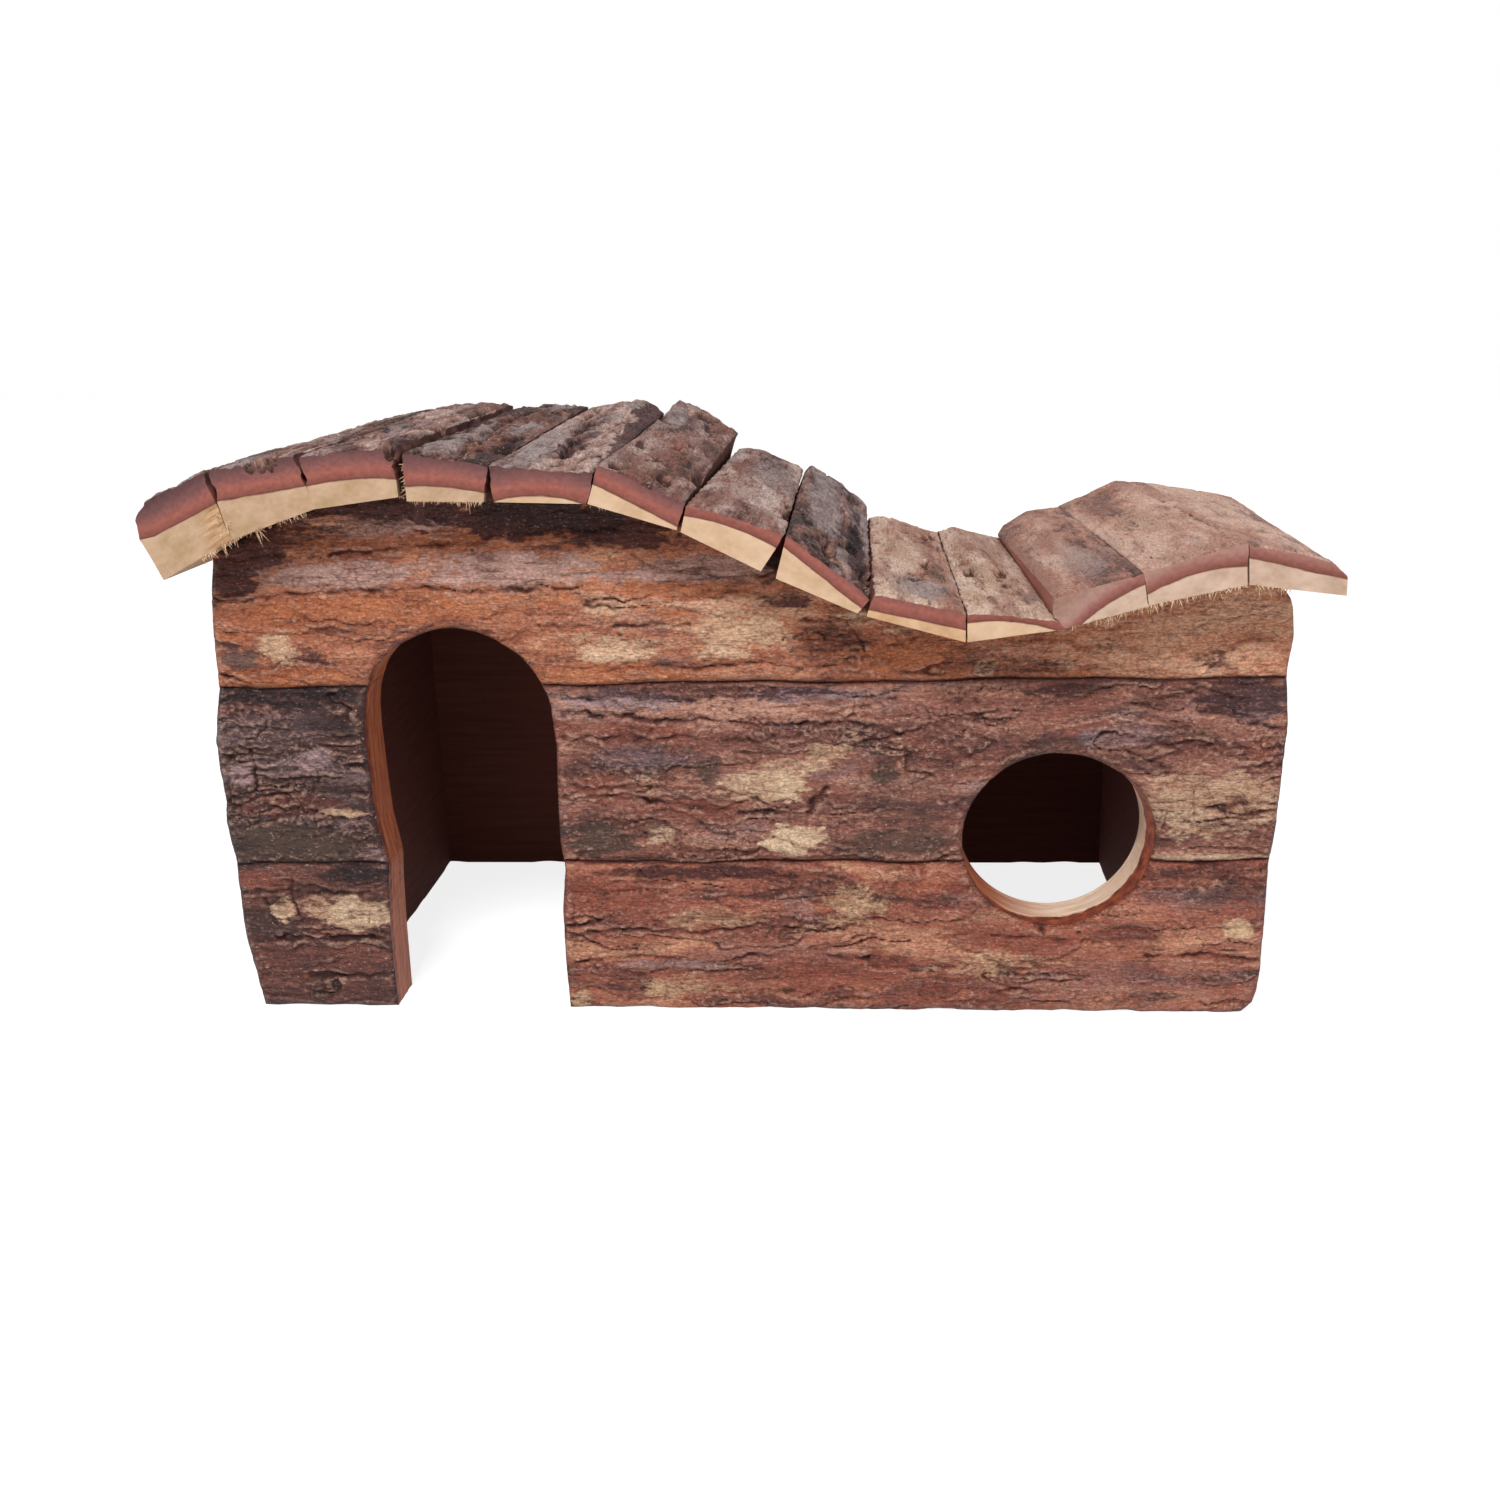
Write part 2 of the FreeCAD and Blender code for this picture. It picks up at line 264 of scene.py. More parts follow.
def hollow_out(along, across, seed, height, masks, hollows):
    """Ragged pits where bark has broken out: centre, half sizes and depth."""
    ragged = 0.55 * fractal(along, across, 3.6, 2.2, seed + 70, 3)
    floor = 0.75 + 0.35 * fractal(along, across, 1.8, 1.4, seed + 71, 2)
    for x, z, half_x, half_z, depth in hollows:
        inside = 1 - ease(np.hypot((along - x) / half_x, (across - z) / half_z) + ragged, 0.75, 1.15)
        height -= depth * inside * floor
        # Painted shade darkens the pits.
        masks["dark"] = np.maximum(masks["dark"], inside * (1.1 - 0.4 * floor))


def curved(points, step):
    """Points about step apart on a smooth curve through a run."""
    points = np.asarray(points, float)
    longer = np.vstack((2 * points[0] - points[1], points, 2 * points[-1] - points[-2]))
    pieces = []
    for before, start, end, after in zip(longer, longer[1:], longer[2:], longer[3:]):
        t = np.linspace(0, 1, max(2, int(np.hypot(*(end - start)) / step)), endpoint=False)[:, None]
        pieces.append(0.5 * (2 * start + (end - before) * t
                             + (2 * before - 5 * start + 4 * end - after) * t ** 2
                             + (3 * start - before - 3 * end + after) * t ** 3))
    return np.vstack(pieces + [points[-1:]])


def resample(points, step):
    """The same run with points about step apart, its last one left out."""
    points = np.asarray(points, float)
    lengths = np.hypot(*np.diff(points, axis=0).T)
    travel = np.concatenate(((0,), np.cumsum(lengths)))
    count = max(1, int(round(travel[-1] / step)))
    places = np.linspace(0, travel[-1], count, endpoint=False)
    return np.stack([np.interp(places, travel, points[:, k]) for k in (0, 1)], axis=1)


def outline_finder(edge):
    """Finds the outline's point that is nearest to a place."""
    finder = KDTree(len(edge))
    for number, (a, z) in enumerate(edge):
        finder.insert((a, z, 0), number)
    finder.balance()
    return finder


def fill_outline(edge, step, seed):
    """Triangles inside a closed outline; the outline's points come first."""
    near = outline_finder(edge)
    low, high = edge.min(axis=0), edge.max(axis=0)
    rows = np.arange(low[1] + step * 0.5, high[1], step * 0.87)
    columns = np.arange(low[0] + step * 0.5, high[0], step)
    a, z = np.meshgrid(columns, rows)
    a = a + (np.arange(len(rows)) % 2)[:, None] * step * 0.5
    random = np.random.default_rng(seed)
    inner = np.stack((a.ravel(), z.ravel()), axis=1) + random.uniform(-0.12, 0.12, (a.size, 2)) * step
    gaps = np.array([near.find((p[0], p[1], 0))[2] for p in inner])
    inner = inner[gaps > 0.62 * step]
    points = np.vstack((edge, inner))
    loop = [(i, (i + 1) % len(edge)) for i in range(len(edge))]
    made = delaunay_2d_cdt([Vector(p) for p in points], loop, [list(range(len(edge)))], 1, 1e-6)
    first = np.array([source[0] for source in made[3]])
    triangles = first[np.array(made[2])]
    used = np.unique(np.concatenate((np.arange(len(edge)), triangles.ravel())))
    renumber = np.full(len(points), -1)
    renumber[used] = np.arange(len(used))
    triangles = renumber[triangles]
    points = points[used]
    a, b, c = (points[triangles[:, k]] for k in range(3))
    area = (b[:, 0] - a[:, 0]) * (c[:, 1] - a[:, 1]) - (b[:, 1] - a[:, 1]) * (c[:, 0] - a[:, 0])
    triangles[area < 0] = triangles[area < 0][:, ::-1]
    return points, triangles


def mesh_piece(name, node, points, faces, materials, face_material, values, smooth_faces):
    """A finished piece: points in mm, faces, its materials, and values kept at its points."""
    mesh = bpy.data.meshes.new(name)
    mesh.from_pydata((points * MM).tolist(), [], faces)
    for material in materials:
        mesh.materials.append(material)
    mesh.polygons.foreach_set("material_index", np.asarray(face_material, np.int32))
    mesh.polygons.foreach_set("use_smooth", np.asarray(smooth_faces, bool))
    for key, data in values.items():
        if data.ndim == 1:
            mesh.attributes.new(key, "FLOAT", "POINT").data.foreach_set("value", data.astype(np.float32))
        else:
            layer = mesh.attributes.new(key, "FLOAT_VECTOR", "POINT")
            layer.data.foreach_set("vector", data.astype(np.float32).ravel())
    mesh.update()
    piece = bpy.data.objects.new(name, mesh)
    bpy.context.scene.collection.objects.link(piece)
    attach(piece, "root")
    if node:
        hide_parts(node)
    return piece


def bark_plank(node, runs, seed, style, bark_look, slot, place, thickness, step,
               patches=(), splits=(), hollows=(), knots=(), pale_window=False):
    """A slab plank. runs go round it as (points, is a joint); place turns (a, z, depth) to x, y, z."""
    runs = [(resample(points, step), joint) for points, joint in runs]
    edge = np.vstack([points for points, joint in runs])
    joints = np.concatenate([np.full(len(points), joint) for points, joint in runs])
    face, face_triangles = fill_outline(edge, step, seed)
    back, back_triangles = fill_outline(edge, SAWN_STEP, seed)
    count = len(edge)
    near = outline_finder(edge)
    found = [near.find((a, z, 0)) for a, z in face]
    gap = np.array([hit[2] for hit in found])
    at_joint = joints[[hit[1] for hit in found]].astype(float)
    along, across = face[:, 0], face[:, 1]
    height, masks = bark(along, across, seed, style)
    lay_patches(along, across, seed, height, masks, patches)
    cut_splits(along, across, seed, height, masks, splits)
    hollow_out(along, across, seed, height, masks, hollows)
    raise_knots(along, across, height, masks, knots)
    low, high = edge[:, 1].min(), edge[:, 1].max()
    bulge = 1 - ((across - (low + high) / 2) / ((high - low) / 2)) ** 2
    worn = 1 + 0.5 * fractal(along, across, 6, 6, seed + 30, 2)
    height = np.clip(height, *PLANK_RELIEF) * (0.35 + 0.65 * ease(gap, 0.0, 1.6))
    height += PLANK_CROWN * (bulge - 1) - 0.5 - 0.75 * np.exp(-gap / 0.8) * worn
    mark_edges(height, face_triangles, masks, 0.55, 1.0)
    # Painted shade along the joints between planks, and a tone a little darker near every edge.
    masks["dark"] = np.maximum(masks["dark"], at_joint * np.exp(-(gap / 0.5) ** 2) * 0.9)
    masks["tone"] = masks["tone"] - 0.12 * np.exp(-gap / 0.8)
    depths = CUT_RINGS * thickness / FRONT_THICKNESS
    ring_a = np.tile(edge[:, 0], len(depths))
    ring_z = np.tile(edge[:, 1], len(depths))
    ring_depth = np.repeat(depths, count)
    sway = 0.12 * fractal(ring_a + ring_z, ring_depth, 2.5, 1.6, seed + 31, 2)
    start = np.tile(-height[:count], len(depths))
    ring_y = start + (thickness - start) * ring_depth / thickness
    inward = np.roll(edge, -1, axis=0) - np.roll(edge, 1, axis=0)
    inward = np.stack((-inward[:, 1], inward[:, 0]), axis=1)
    inward = inward / np.maximum(1e-6, np.hypot(*inward.T))[:, None]
    push = np.tile(inward, (len(depths), 1)) * (sway * ease(ring_depth, 0.0, 1.0) + 0.06)[:, None]
    if pale_window:
        out = edge - np.array(WINDOW_CENTRE)
        reach = np.maximum(1e-6, np.hypot(*out.T))
        bevel = RIM_BEVEL * ease(out[:, 0] / reach, 0.5, 1.0) * (reach < RIM_REACH)
        bevel = (out / reach[:, None]) * bevel[:, None]
        push = push - np.tile(bevel, (len(depths), 1)) * ease(ring_depth, 0.4, 4.0)[:, None]
        back[:count] -= bevel
    flat = np.vstack((face, np.stack((ring_a, ring_z), axis=1) + push, back))
    flat[:, 1] = np.maximum(flat[:, 1], FOOT_CLEARANCE)
    depth = np.concatenate((-height, ring_y, np.full(len(back), thickness)))
    total = len(face) + len(depths) * count
    faces = [face_triangles]
    ring = np.arange(count)
    after = np.roll(ring, -1)
    starts = [0] + [len(face) + k * count for k in range(len(depths))] + [total]
    quads = np.vstack([np.stack((p + ring, q + ring, q + after, p + after), axis=1)
                       for p, q in zip(starts[:-1], starts[1:])])
    back_faces = back_triangles[:, ::-1] + total
    points, flip = place(flat[:, 0], flat[:, 1], depth)
    all_faces = face_triangles.tolist() + quads.tolist() + back_faces.tolist()
    if flip:
        all_faces = [f[::-1] for f in all_faces]
    kinds = [0] * len(face_triangles) + [1] * len(quads) + [2] * len(back_faces)
    smooth = [True] * len(face_triangles) + [False] * (len(quads) + len(back_faces))
    rest = len(flat) - len(face)
    values = {key: np.concatenate((data, np.zeros(rest))) for key, data in masks.items()}
    values["depth"] = np.concatenate((np.zeros(len(face)), ring_depth, np.full(len(back), thickness)))
    values["grain"] = np.stack((flat[:, 0] + seed * 37.0, flat[:, 1], depth + seed * 5.0), axis=1)
    near_window = np.hypot(flat[:, 0] - WINDOW_CENTRE[0], flat[:, 1] - WINDOW_CENTRE[1])
    clean = ease(flat[:, 0] - WINDOW_CENTRE[0], -17, 3)
    values["pale"] = (near_window < RIM_REACH) * clean * float(pale_window)
    return mesh_piece("bark_" + node, node, points, all_faces, (bark_look, cut_wood, inside_wood),
                      kinds, values, smooth)


def add(tree, kind, settings=None, **inputs):
    """Adds a node, sets its settings, and links or fills its inputs (spaces written as _)."""
    made = tree.nodes.new(kind)
    for name, value in (settings or {}).items():
        setattr(made, name, value)
    for name, value in inputs.items():
        socket = made.inputs[int(name[1:])] if name[1:].isdigit() else made.inputs[name.replace("_", " ")]
        if isinstance(value, bpy.types.NodeSocket):
            tree.links.new(value, socket)
        else:
            socket.default_value = value
    return made


def new_material(name):
    """An empty node material and its tree."""
    material = bpy.data.materials.new(name)
    material.use_nodes = True
    material.node_tree.nodes.clear()
    return material, material.node_tree


def set_ramp(ramp, stops):
    """Writes a ColorRamp's stops."""
    elements = ramp.color_ramp.elements
    while len(elements) < len(stops):
        elements.new(0.5)
    for element, (position, code) in zip(elements, stops):
        element.position = position
        element.color = srgb(code)


# How a colour meets the one under it: it covers it, or it darkens it as dirt, stain and painted shade do.
LAID_OVER = {"data_type": "RGBA"}
DARKENED_BY = {"data_type": "RGBA", "blend_type": "MULTIPLY"}


def broken_mask(tree, mask, streak, crumb, streak_part, crumb_part, sharp, most):
    """A mask whose edge breaks up along the streaks and crumbs, from 0 to most."""
    one = add(tree, "ShaderNodeMath", {"operation": "MULTIPLY_ADD"}, _0=streak, _1=streak_part,
              _2=-0.5 * (streak_part + crumb_part) - 0.5)
    two = add(tree, "ShaderNodeMath", {"operation": "MULTIPLY_ADD"}, _0=crumb, _1=crumb_part,
              _2=one.outputs[0])
    three = add(tree, "ShaderNodeMath", {"operation": "ADD"}, _0=mask, _1=two.outputs[0])
    four = add(tree, "ShaderNodeMath", {"operation": "MULTIPLY_ADD", "use_clamp": True},
               _0=three.outputs[0], _1=sharp, _2=0.5)
    return add(tree, "ShaderNodeMath", {"operation": "MULTIPLY"}, _0=four.outputs[0], _1=most).outputs[0]


def patterned(tree, grain, sizes, detail, roughness=0.6):
    """A noise with cells of the given sizes in mm along the grain, across it and into the wood."""
    place = add(tree, "ShaderNodeMapping", _0=grain, Scale=tuple(1 / size for size in sizes))
    return add(tree, "ShaderNodeTexNoise", Vector=place.outputs[0], Scale=1.0, Detail=detail,
               Roughness=roughness).outputs[0]


def stained_bark(name, ramp_stops, bare, grey, rust, olive, fleck_amount, roughness,
                 mottling=(0.9, 0.8, 0.7), shine=0.35, cracks=1.0):
    """Scaly conifer bark under a thin brown stain: matt, streaked along the grain, pale where rubbed.

    bare, grey, rust and olive are each a light and a dark colour of the places that show them."""
    material, tree = new_material(name)
    grain = add(tree, "ShaderNodeAttribute", {"attribute_name": "grain"}).outputs["Vector"]
    streak = patterned(tree, grain, (7.0, 0.9, 0.9), 5.0)
    crumb = patterned(tree, grain, (1.3, 0.75, 0.75), 5.0, 0.65)
    cloud = patterned(tree, grain, (10.0, 4.5, 4.5), 4.0)
    speck = patterned(tree, grain, (0.8, 0.5, 0.5), 3.0)
    tone = add(tree, "ShaderNodeAttribute", {"attribute_name": "tone"}).outputs["Fac"]
    for pattern, amount in zip((streak, crumb, cloud), mottling):
        tone = add(tree, "ShaderNodeMath", {"operation": "MULTIPLY_ADD"}, _0=pattern, _1=amount,
                   _2=tone).outputs[0]
    tone = add(tree, "ShaderNodeMath", {"operation": "SUBTRACT"}, _0=tone, _1=sum(mottling) / 2)
    base = add(tree, "ShaderNodeValToRGB", _0=tone.outputs[0])
    set_ramp(base, ramp_stops)
    colour = base.outputs[0]
    for mask, pair, streak_part, crumb_part, sharp, most in (
            ("rust", rust, 0.9, 0.5, 1.4, 0.8), ("olive", olive, 0.5, 0.5, 2.0, 0.85),
            ("grey", grey, 0.8, 0.9, 2.0, 0.88), ("bare", bare, 0.7, 1.3, 2.6, 0.92)):
        laid = add(tree, "ShaderNodeAttribute", {"attribute_name": mask}).outputs["Fac"]
        core = add(tree, "ShaderNodeMath", {"operation": "MULTIPLY_ADD"}, _0=laid, _1=-0.3, _2=cloud)
        light_and_dark = add(tree, "ShaderNodeMapRange", _0=core.outputs[0], _1=0.1, _2=0.45, _3=1.0,
                             _4=0.0)
        patch = add(tree, "ShaderNodeMix", LAID_OVER, _0=light_and_dark.outputs[0],
                    _6=srgb(pair[1]), _7=srgb(pair[0])).outputs[2]
        factor = broken_mask(tree, laid, streak, crumb, streak_part, crumb_part, sharp, most)
        colour = add(tree, "ShaderNodeMix", LAID_OVER, _0=factor, _6=colour, _7=patch).outputs[2]
    # Dried bark cracks into a net of plates about 3.4 by 1.9 mm.
    warp = add(tree, "ShaderNodeVectorMath", {"operation": "MULTIPLY_ADD"}, _0=crumb, _1=(1.6, 1.0, 1.0),
               _2=grain)
    place = add(tree, "ShaderNodeMapping", _0=warp.outputs[0], Scale=(1 / 3.4, 1 / 1.9, 1 / 1.9))
    plates = add(tree, "ShaderNodeTexVoronoi", {"feature": "DISTANCE_TO_EDGE"}, Vector=place.outputs[0],
                 Scale=1.0)
    crack = add(tree, "ShaderNodeMapRange", _0=plates.outputs["Distance"], _1=0.0, _2=0.1, _3=1.0, _4=0.0)
    crack_here = add(tree, "ShaderNodeMapRange", _0=cloud, _1=0.45, _2=0.6, _3=0.15 * cracks,
                     _4=0.6 * cracks)
    crack = add(tree, "ShaderNodeMath", {"operation": "MULTIPLY"}, _0=crack.outputs[0],
                _1=crack_here.outputs[0])
    colour = add(tree, "ShaderNodeMix", DARKENED_BY, _0=crack.outputs[0], _6=colour,
                 _7=srgb("#7d564a")).outputs[2]
    line = add(tree, "ShaderNodeMapRange", _0=streak, _1=0.56, _2=0.70, _3=0.0, _4=0.6)
    colour = add(tree, "ShaderNodeMix", DARKENED_BY, _0=line.outputs[0], _6=colour,
                 _7=srgb("#846258")).outputs[2]
    # Painted shade in cracks, pits, creases, hollows and joints, and the dark of knots: darker, near
    # black at the core.
    dark = broken_mask(tree, add(tree, "ShaderNodeAttribute", {"attribute_name": "dark"}).outputs["Fac"],
                       streak, crumb, 0.5, 0.9, 1.3, 1.0)
    colour = add(tree, "ShaderNodeMix", DARKENED_BY, _0=dark, _6=colour, _7=srgb("#8a5e52")).outputs[2]
    core = add(tree, "ShaderNodeMapRange", _0=dark, _1=0.45, _2=1.0, _3=0.0, _4=0.8)
    colour = add(tree, "ShaderNodeMix", LAID_OVER, _0=core.outputs[0], _6=colour,
                 _7=srgb("#341510")).outputs[2]
    rim = add(tree, "ShaderNodeAttribute", {"attribute_name": "rim"}).outputs["Fac"]
    rubbed = add(tree, "ShaderNodeMath", {"operation": "MULTIPLY"}, _0=rim, _1=crumb)
    colour = add(tree, "ShaderNodeMix", LAID_OVER, _0=rubbed.outputs[0], _6=colour,
                 _7=srgb("#c39a86")).outputs[2]
    shade = add(tree, "ShaderNodeMapRange", _0=speck, _1=0.3, _2=0.7, _3=0.6, _4=1.36)
    shades = add(tree, "ShaderNodeCombineColor", _0=shade.outputs[0], _1=shade.outputs[0],
                 _2=shade.outputs[0])
    colour = add(tree, "ShaderNodeMix", DARKENED_BY, _0=1.0, _6=colour, _7=shades.outputs[0]).outputs[2]
    # Pale flecks on the crumbs and raised edges, partly painted glints; then painted glints of near
    # white.
    raised = add(tree, "ShaderNodeMath", {"operation": "MULTIPLY_ADD"}, _0=rim, _1=0.05, _2=crumb)
    fleck = add(tree, "ShaderNodeMapRange", _0=raised.outputs[0], _1=0.635, _2=0.695, _3=0.0,
                _4=fleck_amount)
    colour = add(tree, "ShaderNodeMix", LAID_OVER, _0=fleck.outputs[0], _6=colour,
                 _7=srgb("#d8b8a8")).outputs[2]
    glint = add(tree, "ShaderNodeMapRange", _0=speck, _1=0.66, _2=0.72, _3=0.0, _4=fleck_amount)
    colour = add(tree, "ShaderNodeMix", LAID_OVER, _0=glint.outputs[0], _6=colour,
                 _7=srgb("#e3cfc4")).outputs[2]
    # Dirt, and painted shadow where a patch stands for it, darken the colour.
    dirt_and_shadow = broken_mask(tree, add(tree, "ShaderNodeAttribute", {"attribute_name": "dirt_and_shadow"}).outputs["Fac"],
                       streak, crumb, 1.1, 1.3, 2.0, 1.0)
    colour = add(tree, "ShaderNodeMix", DARKENED_BY, _0=dirt_and_shadow, _6=colour, _7=srgb("#7a5f62")).outputs[2]
    # Painted glints in the dirty and shadowed places.
    spark = add(tree, "ShaderNodeMapRange", _0=speck, _1=0.6, _2=0.72, _3=0.0, _4=0.35)
    spark = add(tree, "ShaderNodeMath", {"operation": "MULTIPLY"}, _0=spark.outputs[0], _1=dirt_and_shadow)
    colour = add(tree, "ShaderNodeMix", LAID_OVER, _0=spark.outputs[0], _6=colour,
                 _7=srgb("#b7a3ab")).outputs[2]
    relief = add(tree, "ShaderNodeMath", {"operation": "MULTIPLY_ADD"}, _0=speck, _1=0.5, _2=crumb)
    relief = add(tree, "ShaderNodeMath", {"operation": "ADD"}, _0=relief.outputs[0], _1=streak)
    bump = add(tree, "ShaderNodeBump", Strength=1.0, Distance=0.0008, Height=relief.outputs[0])
    sheen = add(tree, "ShaderNodeMapRange", _0=crumb, _1=0.35, _2=0.65, _3=roughness + 0.2,
                _4=roughness - 0.1)
    shader = add(tree, "ShaderNodeBsdfPrincipled", Base_Color=colour, Roughness=sheen.outputs[0],
                 Specular_IOR_Level=shine, Normal=bump.outputs[0])
    add(tree, "ShaderNodeOutputMaterial", Surface=shader.outputs[0])
    return material


def sawn_edge(name):
    """Planed cut through a slab: red-brown bark edge, then wood, stained and partly painted shade at the
    doorway and ends, pale and partly painted light round the window.
    """
    material, tree = new_material(name)
    grain = add(tree, "ShaderNodeAttribute", {"attribute_name": "grain"}).outputs["Vector"]
    fibre = patterned(tree, grain, (9.0, 9.0, 0.9), 4.0, 0.5)
    blot = patterned(tree, grain, (3.0, 3.0, 2.0), 3.0, 0.5)
    pale_part = add(tree, "ShaderNodeAttribute", {"attribute_name": "pale"}).outputs["Fac"]
    stained_and_shaded = add(tree, "ShaderNodeValToRGB", _0=fibre)
    set_ramp(stained_and_shaded, ((0.3, "#84442a"), (0.5, "#a55a3c"), (0.7, "#b56d46")))
    pale = add(tree, "ShaderNodeValToRGB", _0=fibre)
    set_ramp(pale, ((0.3, "#d2aa90"), (0.5, "#e6c7ae"), (0.7, "#f1d9c4")))
    wood = add(tree, "ShaderNodeMix", LAID_OVER, _0=pale_part, _6=stained_and_shaded.outputs[0],
               _7=pale.outputs[0]).outputs[2]
    waver = add(tree, "ShaderNodeMath", {"operation": "MULTIPLY_ADD"}, _0=blot, _1=2.4, _2=-1.2)
    depth = add(tree, "ShaderNodeMath", {"operation": "ADD"},
                _0=add(tree, "ShaderNodeAttribute", {"attribute_name": "depth"}).outputs["Fac"],
                _1=waver.outputs[0])
    depth = add(tree, "ShaderNodeMath", {"operation": "MULTIPLY_ADD"}, _0=pale_part, _1=-2.4,
                _2=depth.outputs[0])
    into_wood = add(tree, "ShaderNodeMapRange", _0=depth.outputs[0], _1=2.0, _2=2.8, _3=0.0, _4=1.0)
    edge = add(tree, "ShaderNodeValToRGB", _0=blot)
    set_ramp(edge, ((0.3, "#4d2018"), (0.5, "#7c3a26"), (0.7, "#9a5234")))
    colour = add(tree, "ShaderNodeMix", LAID_OVER, _0=into_wood.outputs[0], _6=edge.outputs[0],
                 _7=wood).outputs[2]
    bump = add(tree, "ShaderNodeBump", Strength=0.35, Distance=0.0003, Height=fibre)
    shader = add(tree, "ShaderNodeBsdfPrincipled", Base_Color=colour, Roughness=0.62,
                 Normal=bump.outputs[0])
    add(tree, "ShaderNodeOutputMaterial", Surface=shader.outputs[0])
    return material


def sawn_inside(name):
    """Band-sawn inner face, dark red-brown: faint upright saw marks and soft dark blotches."""
    material, tree = new_material(name)
    grain = add(tree, "ShaderNodeAttribute", {"attribute_name": "grain"}).outputs["Vector"]
    fibre = patterned(tree, grain, (22.0, 1.2, 5.0), 4.0, 0.5)
    saw = patterned(tree, grain, (1.4, 30.0, 5.0), 2.0, 0.5)
    colour = add(tree, "ShaderNodeValToRGB", _0=fibre)
    set_ramp(colour, ((0.3, "#5f342e"), (0.5, "#663931"), (0.72, "#6d3e35")))
    marks = add(tree, "ShaderNodeMath", {"operation": "ADD"}, _0=fibre, _1=saw)
    bump = add(tree, "ShaderNodeBump", Strength=0.25, Distance=0.0003, Height=marks.outputs[0])
    shader = add(tree, "ShaderNodeBsdfPrincipled", Base_Color=colour.outputs[0], Roughness=0.85,
                 Specular_IOR_Level=0.2, Normal=bump.outputs[0])
    add(tree, "ShaderNodeOutputMaterial", Surface=shader.outputs[0])
    return material


cut_wood = sawn_edge("sawn_pine_edge")
inside_wood = sawn_inside("dark_sawn_pine")
orange_bark = stained_bark(
    "orange_stained_bark",
    ((0.1, "#5d332e"), (0.32, "#995a41"), (0.52, "#b67255"), (0.72, "#c98a69"), (0.92, "#dba889")),
    bare=("#e2bd9c", "#c09272"), grey=("#c49e94", "#926b62"), rust=("#bd7046", "#975133"),
    olive=("#6e554f", "#4f3934"), fleck_amount=0.5, roughness=0.5)
brown_bark = stained_bark(
    "grey_brown_stained_bark",
    ((0.1, "#3d2220"), (0.32, "#6b4139"), (0.52, "#8a5648"), (0.72, "#a36e5d"), (0.92, "#bf8e7a")),
    bare=("#dfc1a0", "#b88d70"), grey=("#ab8e90", "#7c6163"), rust=("#9e5744", "#723c30"),
    olive=("#513c31", "#3c2923"), fleck_amount=0.55, roughness=0.5)
red_bark = stained_bark(
    "red_stained_bark",
    ((0.1, "#482620"), (0.32, "#824839"), (0.52, "#9f5c49"), (0.72, "#b6755b"), (0.92, "#cb9273")),
    bare=("#d3b08c", "#ad8062"), grey=("#af8a83", "#7b5652"), rust=("#a95e46", "#7e3c2c"),
    olive=("#63463e", "#482f2a"), fleck_amount=0.45, roughness=0.5)

low_plates = {
    "plates": 1.4, "plate_length": 46, "plate_width": 9, "step": 0.7, "flake": 0.5, "grit": 0.26,
    "split_length": 44, "split_width": 8, "split_gate": 0.15, "split_depth": 0.9, "cross": 0.5,
    "pits": 0.5, "bare": 0.5, "grey": 0.45, "rust": 0.7, "tone": 0.0, "clouds": 0.3}
upper_style = dict(low_plates, step=0.6, split_gate=0.35, cross=0.4, pits=0.35, flake=0.35, rust=0.9,
                   tone=-0.03)
middle_style = dict(low_plates, step=0.8, flake=0.7, grit=0.3, split_gate=0.05, cross=0.7, pits=0.8,
                    bare=0.4, grey=0.6, rust=0.6)
lower_style = dict(low_plates, step=0.6, split_gate=0.15, cross=0.45, bare=0.5, grey=0.35, tone=-0.03)


def lower_seam(x):
    """Height of the joint between the lower and the middle planks."""
    x = np.asarray(x, float)
    return LOWER_JOINT + 0.9 * ease(x, -120, 60) + 0.3 * np.sin(x / 9.0) + 0.2 * np.sin(x / 3.7 + 1)


def upper_seam(x):
    """Height of the joint between the middle and the upper planks."""
    x = np.asarray(x, float)
    return UPPER_JOINT + 0.6 * ease(x, -120, 120) + 0.3 * np.sin(x / 11.0 + 2) + 0.15 * np.sin(x / 4.1)


def upright(curve, low, high):
    """Points of an upright edge from one height to another."""
    z = np.linspace(low, high, max(2, int(abs(high - low) / RUN_STEP)))
    return np.stack((np.interp(z, curve[:, 0], curve[:, 1]), z), axis=1)


def level_run(height, start, end):
    """Points along a joint from one x to another."""
    x = np.linspace(start, end, max(2, int(abs(end - start) / RUN_STEP)))
    return np.stack((x, height(x)), axis=1)


def edge_x(curve, seam):
    """Where an upright edge meets a joint."""
    z = float(seam(np.interp(60, curve[:, 0], curve[:, 1])))
    for _ in range(4):
        z = float(seam(np.interp(z, curve[:, 0], curve[:, 1])))
    return float(np.interp(z, curve[:, 0], curve[:, 1])), z


def ground(x):
    """The planks' feet, flat but for small nicks."""
    return np.maximum(0, 0.25 * np.sin(np.asarray(x) / 6.0) + 0.2 * np.sin(np.asarray(x) / 2.3))


def underside(x):
    """Height of the roof's underside."""
    return np.interp(x, ROOF_UNDERSIDE[:, 0], ROOF_UNDERSIDE[:, 1]) - 0.05


